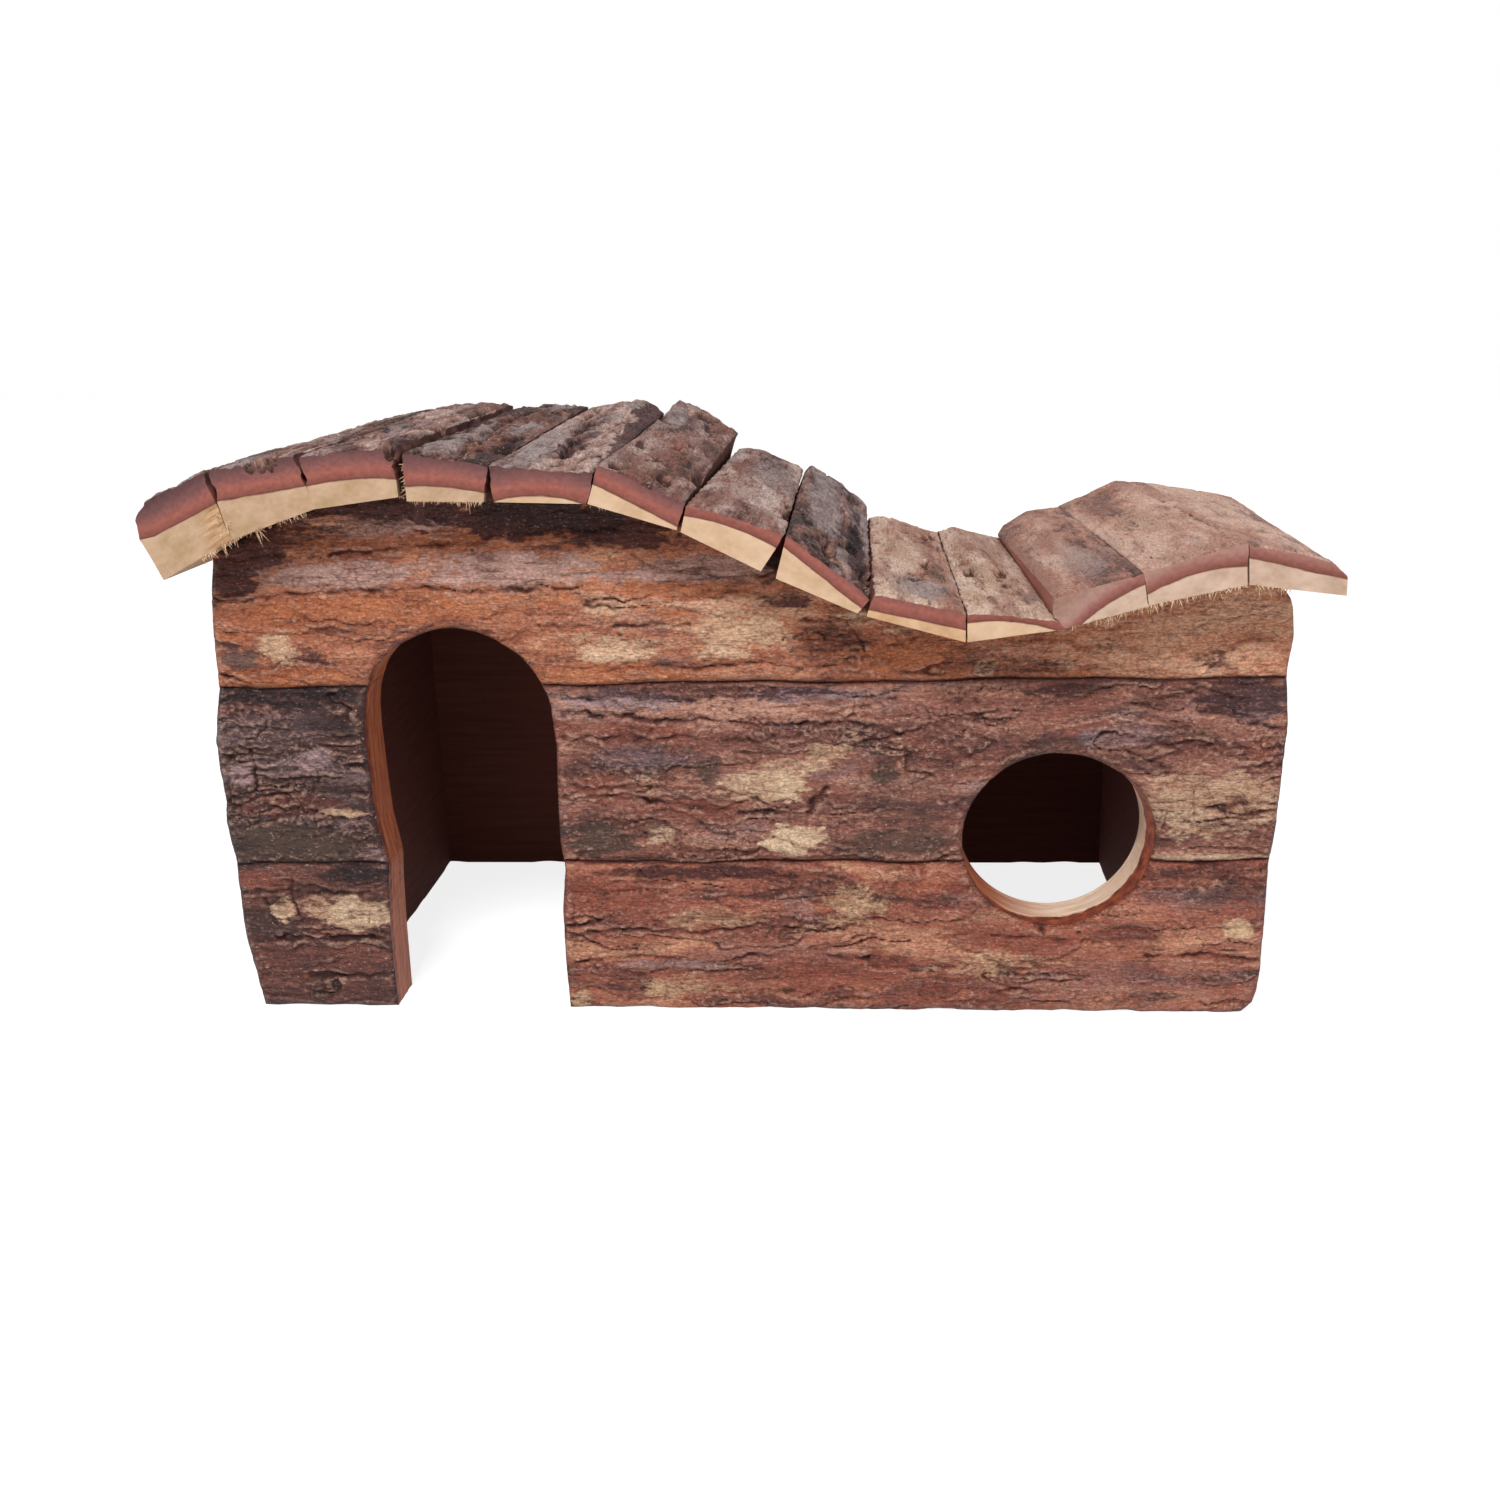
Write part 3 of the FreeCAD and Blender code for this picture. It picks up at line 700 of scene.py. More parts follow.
turn = np.linspace(0, math.tau, 400)
ring_reach = WINDOW_RADIUS + 0.2 * np.sin(2 * turn + 1) + RIM_BEVEL * ease(np.cos(turn), 0.5, 1.0)
window_ring = np.stack((WINDOW_CENTRE[0] + ring_reach * np.cos(turn),
                        WINDOW_CENTRE[1] + ring_reach * np.sin(turn)), axis=1)
window_top = window_ring[window_ring[:, 1] > lower_seam(window_ring[:, 0])]
window_top = window_top[np.argsort(np.arctan2(window_top[:, 0] - WINDOW_CENTRE[0],
                                              window_top[:, 1] - WINDOW_CENTRE[1]))]
window_foot = window_ring[window_ring[:, 1] <= lower_seam(window_ring[:, 0])]
window_foot = window_foot[np.argsort(-window_foot[:, 0])]
window_left, window_right = window_foot[-1, 0], window_foot[0, 0]

left_low, left_high = edge_x(LEFT_END, lower_seam), edge_x(LEFT_END, upper_seam)
right_low, right_high = edge_x(RIGHT_END, lower_seam), edge_x(RIGHT_END, upper_seam)
door_left_low, door_left_high = edge_x(DOOR_LEFT, lower_seam), edge_x(DOOR_LEFT, upper_seam)
door_right_low, door_right_high = edge_x(DOOR_RIGHT, lower_seam), edge_x(DOOR_RIGHT, upper_seam)


def front_place(a, z, depth):
    """Depth goes back from the front wall's bark."""
    return np.stack((a, FRONT_FACE_Y + depth, z), axis=1), False


front_looks = dict(slot="front_slab_wood", place=front_place, thickness=FRONT_THICKNESS, step=FINE_STEP)
bark_plank(
    "front_lower_plank_left",
    ((level_run(ground, LEFT_END[0, 1], DOOR_LEFT[0, 1]), False),
     (upright(DOOR_LEFT, ground(DOOR_LEFT[0, 1]), door_left_low[1]), False),
     (level_run(lower_seam, door_left_low[0], left_low[0]), True),
     (upright(LEFT_END, left_low[1], ground(LEFT_END[0, 1])), False)), seed=11, bark_look=brown_bark,
    style=dict(lower_style, tone=-0.27, flake=0.35, grit=0.2, step=0.5, split_gate=0.7, cross=0.2,
               rust=0.0, clouds=0.1, bare=0.2),
    patches=(("rust", -104, 18, 22, 20, 0.45), ("rust", -114, 33.2, 9, 2.8, 0.8),
             ("dirt_and_shadow", -93, 35.2, 11, 2.2, 1.0), ("olive", -114, 22, 8, 4.5, 0.45),
             ("tone", -104, 14.0, 20, 5.0, -0.08), ("dirt_and_shadow", -107, 3.1, 19, 3.0, 0.4),
             ("bare", -112.2, 26.2, 3.0, 2.9, 1.2), ("bare", -94.5, 25.2, 9.0, 4.4, 1.1),
             ("bare", -103, 26, 5, 3.4, 0.7), ("rust", -104, 13, 17, 2.5, 0.1)),
    splits=((0.45, 0.9, ((-108.8, 34.8), (-110.2, 28.8), (-108.6, 25.1))),
            (0.4, 0.7, ((-116.5, 28.8), (-115.6, 24.6), (-113.8, 22.6))),
            (0.5, 0.9, ((-122.4, 30.6), (-110, 30.8), (-100.1, 30.0), (-85.7, 30.7))),
            (0.3, 0.5, ((-90.6, 28.3), (-90.8, 22.8))),
            (0.55, 1.0, ((-117.0, 17.6), (-111.0, 19.8), (-104.0, 18.4), (-97.7, 19.4), (-90.9, 17.9))),
            (0.55, 0.9, ((-119.4, 8.3), (-109.9, 9.6), (-97.5, 8.4), (-86.1, 9.2)))),
    hollows=((-112, 18.4, 5, 1.0, 0.8), (-96, 18.6, 7, 0.9, 0.8), (-104, 8.4, 5, 0.8, 0.7),
             (-101, 5.6, 1.2, 1.6, 0.8)), **front_looks)
bark_plank(
    "front_lower_plank_right",
    ((level_run(ground, DOOR_RIGHT[0, 1], RIGHT_END[0, 1]), False),
     (upright(RIGHT_END, ground(RIGHT_END[0, 1]), right_low[1]), False),
     (level_run(lower_seam, right_low[0], window_right), True), (window_foot, False),
     (level_run(lower_seam, window_left, door_right_low[0]), True),
     (upright(DOOR_RIGHT, door_right_low[1], ground(DOOR_RIGHT[0, 1])), False)), seed=23,
    style=lower_style, bark_look=red_bark, pale_window=True,
    patches=(("grey", 85, 9, 42, 7, 0.45), ("dirt_and_shadow", -11, 35.8, 25, 1.8, 0.8),
             ("bare", -8, 24.5, 12, 3.0, 0.55), ("bare", 26, 28.7, 10, 6.0, 0.65),
             ("grey", -17, 12.5, 15, 1.3, 0.9), ("bare", -16, 5.9, 12, 2.8, 0.65),
             ("bare", -40, 2.9, 3, 2.6, 0.9), ("bare", 59, 12.8, 17, 4.0, 0.55),
             ("dirt_and_shadow", 108, 36.0, 15, 2.4, 0.6), ("grey", 106, 30, 15, 4.0, 0.5),
             ("bare", 115, 22.2, 4.2, 2.4, 1.3), ("rust", -32, 30.3, 12, 3.8, 0.9),
             ("rust", 45, 33.0, 9, 3.8, 1.0), ("rust", 77, 20.6, 18, 3.0, 0.8),
             ("dirt_and_shadow", 1, 9.0, 12, 6.8, 0.3), ("grey", 14, 27, 5, 5, 0.55),
             ("grey", 6, 15.5, 22, 3.5, 0.45), ("grey", 60, 30, 14, 3, 0.4),
             ("bare", 28, 21.5, 20, 1.8, 0.45)),
    splits=((0.5, 0.9, ((59.2, 20.1), (72.3, 19.7), (84.2, 18.7))),
            (0.5, 0.9, ((94.6, 15.0), (107.2, 15.3), (121.1, 14.3))),
            (0.5, 0.9,
             ((-42, 19.9), (-24.9, 21.8), (-10.5, 20.3), (3.9, 22.5), (20.6, 21.5), (32.4, 24.1))),
            (0.5, 0.8, ((-41.2, 12.8), (-25.3, 14.5), (-5.9, 13.6), (13.3, 15.8), (30.0, 13.8)))),
    knots=((25.4, 33.0, 2.4, 0.5), (31.2, 29.2, 2.6, 0.5)), **front_looks)
bark_plank(
    "front_middle_plank_left",
    ((level_run(lower_seam, left_low[0], door_left_low[0]), True),
     (upright(DOOR_LEFT, door_left_low[1], door_left_high[1]), False),
     (level_run(upper_seam, door_left_high[0], left_high[0]), True),
     (upright(LEFT_END, left_high[1], left_low[1]), False)), seed=37,
    style=dict(middle_style, rust=0.2, bare=0.3, grey=0.6, tone=-0.46, cross=1.0, clouds=0.15),
    bark_look=brown_bark,
    patches=(("dirt_and_shadow", -105, 79.3, 18, 2.4, 0.8), ("grey", -106, 72, 17, 3.7, 0.45),
             ("grey", -118, 59.9, 3.5, 2.8, 1.0), ("grey", -100, 64.3, 5, 2.4, 1.0),
             ("rust", -105, 52.5, 17, 3.4, 0.55), ("bare", -95, 51.1, 7, 1.5, 0.8),
             ("olive", -106, 43.2, 19, 5.2, 1.0)),
    splits=((0.5, 1.0, ((-114.9, 67.1), (-114.5, 63.1), (-115.4, 57.4))),
            (0.5, 0.9, ((-114.8, 61.9), (-108.8, 61.4), (-103.8, 62.8))),
            (0.5, 0.8, ((-100, 80.2), (-94, 78.9), (-90, 80.5)))), **front_looks)
bark_plank(
    "front_middle_plank_right",
    ((level_run(lower_seam, door_right_low[0], window_left), True), (window_top, False),
     (level_run(lower_seam, window_right, right_low[0]), True),
     (upright(RIGHT_END, right_low[1], right_high[1]), False),
     (level_run(upper_seam, right_high[0], door_right_high[0]), True),
     (upright(DOOR_RIGHT, door_right_high[1], door_right_low[1]), False)), seed=41, style=middle_style,
    bark_look=brown_bark, pale_window=True,
    patches=(("olive", 36, 42.9, 16, 4.0, 0.7), ("olive", -34, 43.6, 8.5, 4.8, 0.85),
             ("olive", 38, 55.3, 13, 8.5, 0.45), ("olive", 33.5, 60.5, 4, 3.4, 0.8),
             ("olive", -7, 60.3, 3, 3.7, 0.8), ("dirt_and_shadow", -3, 79.9, 40, 1.8, 0.7),
             ("grey", -27, 77.9, 11, 2.6, 1.1), ("grey", 20, 79.3, 16, 1.8, 1.0),
             ("rust", -23, 70.6, 18, 3.1, 0.8), ("bare", 6, 57.1, 10, 4.9, 0.92),
             ("bare", 14, 62.5, 10, 1.6, 0.6), ("bare", -21, 59.1, 3, 4.0, 0.5),
             ("bare", -19, 44.9, 4, 2.6, 0.85), ("bare", 12, 44.3, 7, 4.2, 1.15),
             ("grey", -21, 64.6, 12, 3.1, 0.45), ("bare", 20, 65.6, 6, 2.6, 0.7),
             ("rust", -33, 57.3, 9, 3.1, 0.8), ("grey", 116, 76.5, 9, 4.5, 0.7),
             ("dirt_and_shadow", 114, 77.5, 14, 5.0, 0.8), ("tone", 40, 70, 20, 8, -0.12),
             ("tone", 100, 66, 20, 5, -0.1), ("tone", 107, 54, 16, 11, 0.0),
             ("tone", -27, 62, 16, 7, -0.28), ("tone", -20, 66, 14, 9, -0.1),
             ("tone", -12, 77.5, 36, 3.6, 0.45), ("rust", 119, 65.4, 4.5, 2.6, 0.8),
             ("grey", 80, 68.6, 3, 2.0, 1.0), ("bare", 107, 53.0, 17, 9.5, 0.66),
             ("bare", 108, 39.6, 15, 0.9, 0.8), ("dirt_and_shadow", 74, 80, 14, 1.5, 0.7),
             ("rust", -9, 51.7, 14, 2.5, 0.7), ("dirt_and_shadow", 104, 71.0, 11, 2.4, 0.4)),
    splits=((0.55, 1.0,
             ((-41.1, 74.9), (-29.5, 74.6), (-17.9, 73.1), (-8.7, 73.5), (5, 72), (21.1, 72.8),
              (32.4, 71.8), (36.9, 69.7))),
            (0.5, 0.9, ((-41.4, 69.4), (-27.4, 68.8), (-13.5, 69.7), (5.0, 68.2), (14.2, 69.6))),
            (0.9, 1.5, ((15.7, 51.2), (17.4, 54.1), (20.2, 56.5))),
            (0.5, 0.9, ((14.2, 72.2), (21.1, 74.5), (30.2, 76.8), (36.0, 78.6))),
            (0.5, 0.9, ((25.6, 67.4), (36.9, 69.7), (48.2, 73.2), (59.4, 75.0))),
            (0.5, 0.9, ((111.9, 72.8), (117.1, 71.3), (123.1, 70.1))),
            (0.5, 0.8, ((88.7, 66.8), (101.9, 67.2), (115.2, 66.2))),
            (0.3, 0.5, ((97.4, 51.0), (97.1, 46.5))), (0.28, 0.4, ((103.2, 55.9), (103.9, 50.2))),
            (0.28, 0.4, ((110.6, 51.5), (112.8, 50.6), (117.8, 51.2))),
            (0.3, 0.5, ((95.6, 60.2), (102.4, 60.9))),
            (0.5, 0.8,
             ((-42.3, 54.2), (-32.8, 55.2), (-23.4, 54.2), (-14.1, 52.7), (-0.1, 51.2), (11.6, 51.2)))),
    **front_looks)
top_run = np.linspace(118.0, -118.9, 300)
top_run = np.stack((top_run, underside(top_run)), axis=1)
bark_plank(
    "front_upper_plank",
    ((level_run(upper_seam, left_high[0], door_left_high[0]), True),
     (curved(np.vstack((door_left_high, DOOR_ARCH[1:-1], door_right_high)), 0.4), False),
     (level_run(upper_seam, door_right_high[0], right_high[0]), True),
     (upright(RIGHT_END, right_high[1], top_run[0, 1]), False), (top_run, True),
     (upright(LEFT_END, top_run[-1, 1], left_high[1]), False)), seed=53, style=upper_style,
    bark_look=orange_bark,
    # The dark patches along the top edge, under the roof, are painted shadow of its overhang.
    patches=(("dirt_and_shadow", -115, 108.0, 6, 6.0, 1.3), ("olive", -45, 121.3, 22, 4.8, 0.9),
             ("dirt_and_shadow", -45, 121.3, 22, 4.8, 1.9), ("grey", -76, 120.0, 22, 4.5, 0.8),
             ("dirt_and_shadow", -76, 122.6, 24, 2.6, 1.2), ("tone", -104, 95, 22, 9, -0.2),
             ("tone", -78, 98, 26, 6, -0.08), ("tone", 98, 94, 32, 14, 0.4),
             ("grey", 96, 97, 26, 8, 0.4), ("dirt_and_shadow", 62, 85.5, 15, 2.6, 0.55),
             ("tone", -30, 103, 30, 8, 0.14), ("tone", 4, 94, 22, 9, 0.12),
             ("tone", 50, 88, 24, 7, 0.08), ("dirt_and_shadow", -109, 114.5, 10, 5.0, 1.2),
             ("dirt_and_shadow", -25, 117.5, 14, 4.0, 1.3), ("bare", 5, 102.3, 6, 2.2, 0.8),
             ("dirt_and_shadow", 12.5, 100.4, 5, 1.6, 0.8), ("bare", 27, 97.4, 6, 1.3, 0.8),
             ("bare", 38, 94.0, 7, 1.1, 0.8), ("bare", 46.5, 92.1, 5, 1.0, 0.7),
             ("dirt_and_shadow", 22, 91.8, 9, 5.0, 0.6), ("dirt_and_shadow", 53, 88.0, 7, 2.5, 0.5),
             ("dirt_and_shadow", -100, 116.8, 9, 4.2, 0.6), ("grey", -89, 108.0, 21, 3.6, 1.0),
             ("grey", -50, 109.2, 20, 4.8, 1.0), ("tone", -50, 110.5, 22, 4.0, 0.15),
             ("grey", -10, 107.8, 20, 3.6, 0.9), ("rust", -54, 115.2, 29, 2.4, 0.75),
             ("rust", -84, 99.7, 38, 4.1, 1.0), ("rust", -11, 103.4, 20, 2.2, 0.9),
             ("bare", -106, 91.3, 5, 3.8, 0.75), ("olive", -116, 88.9, 6, 2.6, 0.9),
             ("rust", -104, 84.1, 18, 2.2, 1.0), ("bare", -29, 99.9, 6, 1.3, 0.8),
             ("bare", -27, 90.4, 10, 4.2, 0.95), ("olive", -17, 85.7, 5, 2.0, 0.9),
             ("bare", 1, 93.6, 13, 6.2, 0.75), ("rust", 40, 87.1, 11, 5.7, 1.0),
             ("bare", 56, 85.1, 3, 3.0, 0.9), ("dirt_and_shadow", 70, 86.0, 4, 1.5, 0.6),
             ("dirt_and_shadow", 106, 86.8, 4, 2.1, 0.5), ("dirt_and_shadow", 11, 100.9, 6, 2.2, 0.6),
             ("rust", -24, 84.5, 17, 2.4, 1.0), ("rust", 98, 92.0, 24, 8.0, 0.3),
             ("dirt_and_shadow", 41, 94.8, 9, 2.2, 0.5)),
    splits=((0.5, 0.8, ((-44.4, 95.8), (-30.7, 95.2), (-19.2, 96.0), (-10.2, 95.5))),
            (0.28, 0.4, ((15.9, 94.6), (17.2, 91.2), (18.0, 88.6))),
            (0.28, 0.5, ((24.9, 96.2), (27.4, 92.9), (29.0, 89.3))),
            (0.5, 0.9,
             ((-120, 102.7), (-111, 102.6), (-101.5, 103.9), (-85.2, 104.6), (-69.6, 104.9),
              (-59.8, 103.8), (-43.8, 104.1))),
            (0.5, 0.9, ((-91.3, 112.4), (-75, 114.0), (-59, 114.9), (-47.5, 117.0), (-25, 117.7))),
            (0.5, 0.7, ((-31.2, 85.0), (-22.0, 86.3), (-8.3, 85.7), (5.4, 87.0), (14.4, 85.5)))),
    knots=((25.9, 86.9, 3.4, 0.7), (-58.6, 113.3, 1.8, 0.4), (56.1, 85.4, 2.4, 0.4),
           (-37.7, 110.8, 1.6, 0.3)), **front_looks)

# ---- Back wall -------------------------------------------------------------------------------
# Three more slabs, 12 mm thick, bark outside, sawn and stained face inside. They are glued to
# the side walls' ends and pinned, and their joints follow the front wall's.

BACK_FACE_Y = 61.5
BACK_THICKNESS = 12.0
COARSE_STEP = 0.8               # between the points on the bark faces of the back and the sides
BACK_JOINTS = (38.4, 82.0)


def back_place(a, z, depth):
    """Depth goes forward from the back wall's bark, which turns the faces round."""
    return np.stack((a, BACK_FACE_Y - depth, z), axis=1), True


def wavy_end(x, seed):
    """An upright end that wanders by a millimetre."""
    z = np.linspace(0, 130, 80)
    return np.stack((z, x + 0.8 * np.sin(z / 13.0 + seed) + 0.4 * np.sin(z / 4.3 + 2 * seed)), axis=1)


def back_seam(height, seed):
    """A joint of the back wall."""
    return lambda x: height + 0.3 * np.sin(np.asarray(x, float) / 10.0 + seed)


back_looks = dict(slot="back_slab_wood", place=back_place, thickness=BACK_THICKNESS, step=COARSE_STEP)
back_left, back_right = wavy_end(-121.3, 1.0), wavy_end(121.8, 3.0)
back_joints = (ground, back_seam(BACK_JOINTS[0], 1.0), back_seam(BACK_JOINTS[1], 4.0))
back_top = np.linspace(121.9, -121.4, 300)
back_top = np.stack((back_top, underside(back_top)), axis=1)
for level, (node, bark_look, style) in enumerate((
        ("back_lower_plank", brown_bark, lower_style),
        ("back_middle_plank", red_bark, middle_style),
        ("back_upper_plank", orange_bark, upper_style))):
    foot_left, foot_right = edge_x(back_left, back_joints[level]), edge_x(back_right, back_joints[level])
    if level == 0:
        foot_left, foot_right = (back_left[0, 1], 0.0), (back_right[0, 1], 0.0)
    if level < 2:
        head_left = edge_x(back_left, back_joints[level + 1])
        head_right = edge_x(back_right, back_joints[level + 1])
        head = level_run(back_joints[level + 1], head_right[0], head_left[0])
    else:
        head, head_left, head_right = back_top, back_top[-1], back_top[0]
    bark_plank(
        node,
        ((level_run(back_joints[level], foot_left[0], foot_right[0]), level > 0),
         (np.vstack((upright(back_right, foot_right[1], head_right[1])[:-1], head[:1])), False),
         (head, True),
         (np.vstack((head[-1:], upright(back_left, head_left[1], foot_left[1])[1:])), False)),
        seed=61 + 10 * level, style=style, bark_look=bark_look, **back_looks)

# ---- Side walls ------------------------------------------------------------------------------
# Three slabs on each side between the front and the back wall, set 9 mm in from their ends,
# bark outside. They carry the roof, so their top edges slope with its underside.

SIDE_THICKNESS = 14.0
SIDE_FRONT, SIDE_BACK = -37.45, 49.45
LEFT_OUTSIDE, RIGHT_OUTSIDE = -113.156, 113.664
SIDE_JOINTS = (0.0, *BACK_JOINTS)


def side_place(outer_x, direction, level):
    """Depth goes inwards from the bark; the top plank's height follows the roof's slope."""
    def place(a, z, depth):
        x = outer_x + direction * depth
        if level == 2:
            share = (z - SIDE_JOINTS[2]) / (float(underside(outer_x)) - SIDE_JOINTS[2])
            z = SIDE_JOINTS[2] + share * (underside(x) - SIDE_JOINTS[2])
        return np.stack((x, a, z), axis=1), direction > 0
    return place


for side, outer_x, direction, first_seed in (
        ("left", LEFT_OUTSIDE, 1, 101), ("right", RIGHT_OUTSIDE, -1, 151)):
    for level, (part, bark_look, style) in enumerate((
            ("lower", red_bark, lower_style), ("middle", brown_bark, middle_style),
            ("upper", orange_bark, upper_style))):
        foot = back_seam(SIDE_JOINTS[level], first_seed) if level else ground
        top_height = float(underside(outer_x))
        head = (back_seam(SIDE_JOINTS[level + 1], first_seed) if level < 2
                else lambda y, height=top_height: np.full(np.shape(y), height))
        bark_plank(
            "%s_side_%s_plank" % (side, part),
            ((level_run(foot, SIDE_FRONT, SIDE_BACK), level > 0),
             (((SIDE_BACK, float(foot(SIDE_BACK))), (SIDE_BACK, float(head(SIDE_BACK)))), True),
             (level_run(head, SIDE_BACK, SIDE_FRONT), True),
             (((SIDE_FRONT, float(head(SIDE_FRONT))), (SIDE_FRONT, float(foot(SIDE_FRONT)))), True)),
            seed=first_seed + 10 * level, style=style, bark_look=bark_look, slot="side_slab_wood",
            place=side_place(outer_x, direction, level), thickness=SIDE_THICKNESS, step=COARSE_STEP)

# ---- Pins ------------------------------------------------------------------------------------
# Headless 1.2 mm brads of drawn steel, driven below the bark and covered. They keep their solids.

drawn_steel, tree = new_material("drawn_steel")
place = add(tree, "ShaderNodeTexCoord")
# Drawn wire is bright with fine dull marks, 0.25 mm apart.
drawing = add(tree, "ShaderNodeTexNoise", Vector=place.outputs["Object"], Scale=4000.0, Detail=2.0)
shine = add(tree, "ShaderNodeMapRange", _0=drawing.outputs[0], _1=0.3, _2=0.7, _3=0.28, _4=0.42)
shader = add(tree, "ShaderNodeBsdfPrincipled", Base_Color=srgb("#9a9b9d"), Metallic=1.0,
             Roughness=shine.outputs[0])
add(tree, "ShaderNodeOutputMaterial", Surface=shader.outputs[0])
for node in ("roof_pins", "wall_pins"):
    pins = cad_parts[node]
    for number in range(max(1, len(pins.material_slots))):
        if pins.material_slots:
            pins.material_slots[number].material = drawn_steel
        else:
            pins.data.materials.append(drawn_steel)

# ---- Roof ------------------------------------------------------------------------------------
# Thirteen sawn slabs laid side by side from front to back, bark up, in a wave. Each is cut from
# another log, so its bark, its reddish inner bark and its pale wood have their own thicknesses.

ROOF_FRONT_Y = -62.0
ROOF_BACK_Y = 62.0
ACROSS, UP, ALONG = 34, 14, 200     # faces over a slat's width, thickness and length
SLAT_RELIEF = (-3.2, 1.2)           # how deep and how proud a slat's bark may be
RELIEF_FADE = 4.0                   # the relief fades out down the slat's sides
JOINT_FADE = 2.5                    # a ragged joint eats this far into a slat
LAYER_STOPS = (0.0, 0.06, 0.28, 0.45, 0.7, 1.0)     # over the 8 mm above the wood


def section_look(name, wood, side="#5c3a31",
                 bark=("#5c3128", "#7e4b43", "#975a4f", "#84544f", "#694847", "#553b3c")):
    """Sawn slab end: pale wood, a thin brown line, rosy inner bark, then purple-brown outer bark."""
    material, tree = new_material(name)
    grain = add(tree, "ShaderNodeAttribute", {"attribute_name": "grain"}).outputs["Vector"]
    streak = patterned(tree, grain, (3.0, 6.0, 0.7), 4.0)
    pore = patterned(tree, grain, (1.2, 1.2, 1.0), 4.0)
    cloud = patterned(tree, grain, (6.0, 6.0, 4.0), 2.0)
    layer = add(tree, "ShaderNodeAttribute", {"attribute_name": "layer"}).outputs["Fac"]
    waver = add(tree, "ShaderNodeMath", {"operation": "MULTIPLY_ADD"}, _0=streak, _1=0.7, _2=-0.35)
    height = add(tree, "ShaderNodeMath", {"operation": "ADD"}, _0=layer, _1=waver.outputs[0])
    bark_part = add(tree, "ShaderNodeMapRange", _0=height.outputs[0], _1=0.0, _2=8.0, _3=0.0, _4=1.0)
    bark_ramp = add(tree, "ShaderNodeValToRGB", _0=bark_part.outputs[0])
    set_ramp(bark_ramp, tuple(zip(LAYER_STOPS, bark)))
    tint = add(tree, "ShaderNodeMath", {"operation": "MULTIPLY_ADD"}, _0=pore, _1=0.4, _2=cloud)
    pale = add(tree, "ShaderNodeValToRGB", _0=tint.outputs[0])
    set_ramp(pale, ((0.5, wood[0]), (0.7, wood[1]), (0.9, wood[2])))
    wood_or_bark = add(tree, "ShaderNodeMapRange", _0=height.outputs[0], _1=-0.15, _2=0.15, _3=0.0,
                       _4=1.0)
    shade = add(tree, "ShaderNodeMapRange", _0=pore, _1=0.3, _2=0.7, _3=0.82, _4=1.14)
    shades = add(tree, "ShaderNodeCombineColor", _0=shade.outputs[0], _1=shade.outputs[0],
                 _2=shade.outputs[0])
    toned = add(tree, "ShaderNodeMix", DARKENED_BY, _0=1.0, _6=bark_ramp.outputs[0],
                _7=shades.outputs[0]).outputs[2]
    torn_colour = add(tree, "ShaderNodeValToRGB", _0=streak)
    set_ramp(torn_colour, ((0.35, "#8d6748"), (0.5, "#b08966"), (0.65, "#c9a57f")))
    torn = broken_mask(tree, add(tree, "ShaderNodeAttribute", {"attribute_name": "torn"}).outputs["Fac"],
                       streak, pore, 1.0, 0.8, 1.5, 0.9)
    pale = add(tree, "ShaderNodeMix", LAID_OVER, _0=torn, _6=pale.outputs[0],
               _7=torn_colour.outputs[0]).outputs[2]
    colour = add(tree, "ShaderNodeMix", LAID_OVER, _0=wood_or_bark.outputs[0], _6=pale,
                 _7=toned).outputs[2]
    # The long sides of the slats get painted shade, dark in the gaps between slats; the rosy slats'
    # lighter side colour is painted light.
    side_shading_colour = add(tree, "ShaderNodeMix", DARKENED_BY, _0=1.0, _6=srgb(side),
                _7=shades.outputs[0]).outputs[2]
    colour = add(tree, "ShaderNodeMix", LAID_OVER,
                 _0=add(tree, "ShaderNodeAttribute", {"attribute_name": "side"}).outputs["Fac"],
                 _6=colour, _7=side_shading_colour).outputs[2]
    bump = add(tree, "ShaderNodeBump", Strength=0.3, Distance=0.0003, Height=pore)
    shader = add(tree, "ShaderNodeBsdfPrincipled", Base_Color=colour, Roughness=0.8,
                 Specular_IOR_Level=0.12, Normal=bump.outputs[0])
    add(tree, "ShaderNodeOutputMaterial", Surface=shader.outputs[0])
    return material


def sheet(numbers, turned):
    """Four-sided faces over a grid of point numbers."""
    faces = np.stack((numbers[:-1, :-1], numbers[1:, :-1], numbers[1:, 1:], numbers[:-1, 1:]), axis=-1)
    faces = faces.reshape(-1, 4)
    return faces[:, ::-1] if turned else faces


def slat_lattice():
    """Point places (across, up, along) from 0 to 1 on a closed box, and its faces, bark first."""
    number = np.full((ACROSS + 1, UP + 1, ALONG + 1), -1)
    i, j, k = np.indices(number.shape)
    shell = (i % ACROSS == 0) | (j % UP == 0) | (k % ALONG == 0)
    number[shell] = np.arange(shell.sum())
    spots = np.stack((i[shell] / ACROSS, j[shell] / UP, k[shell] / ALONG), axis=1)
    top = sheet(number[:, UP, :], False)
    rest = np.vstack((sheet(number[:, 0, :], True), sheet(number[:, :, 0], False),
                      sheet(number[:, :, ALONG], True), sheet(number[0], False),
                      sheet(number[ACROSS], True)))
    return spots, top, rest


def on_run(points, share):
    """Points at shares (0 to 1) of a run's width."""
    points = np.asarray(points, float)
    places = (points[:, 0] - points[0, 0]) / (points[-1, 0] - points[0, 0])
    return np.stack([np.interp(share, places, points[:, n]) for n in (0, 1)], axis=1)


def end_gap_of(t):
    """How far in from the nearer end, in mm."""
    return (ROOF_BACK_Y - ROOF_FRONT_Y) * np.minimum(t, 1 - t)


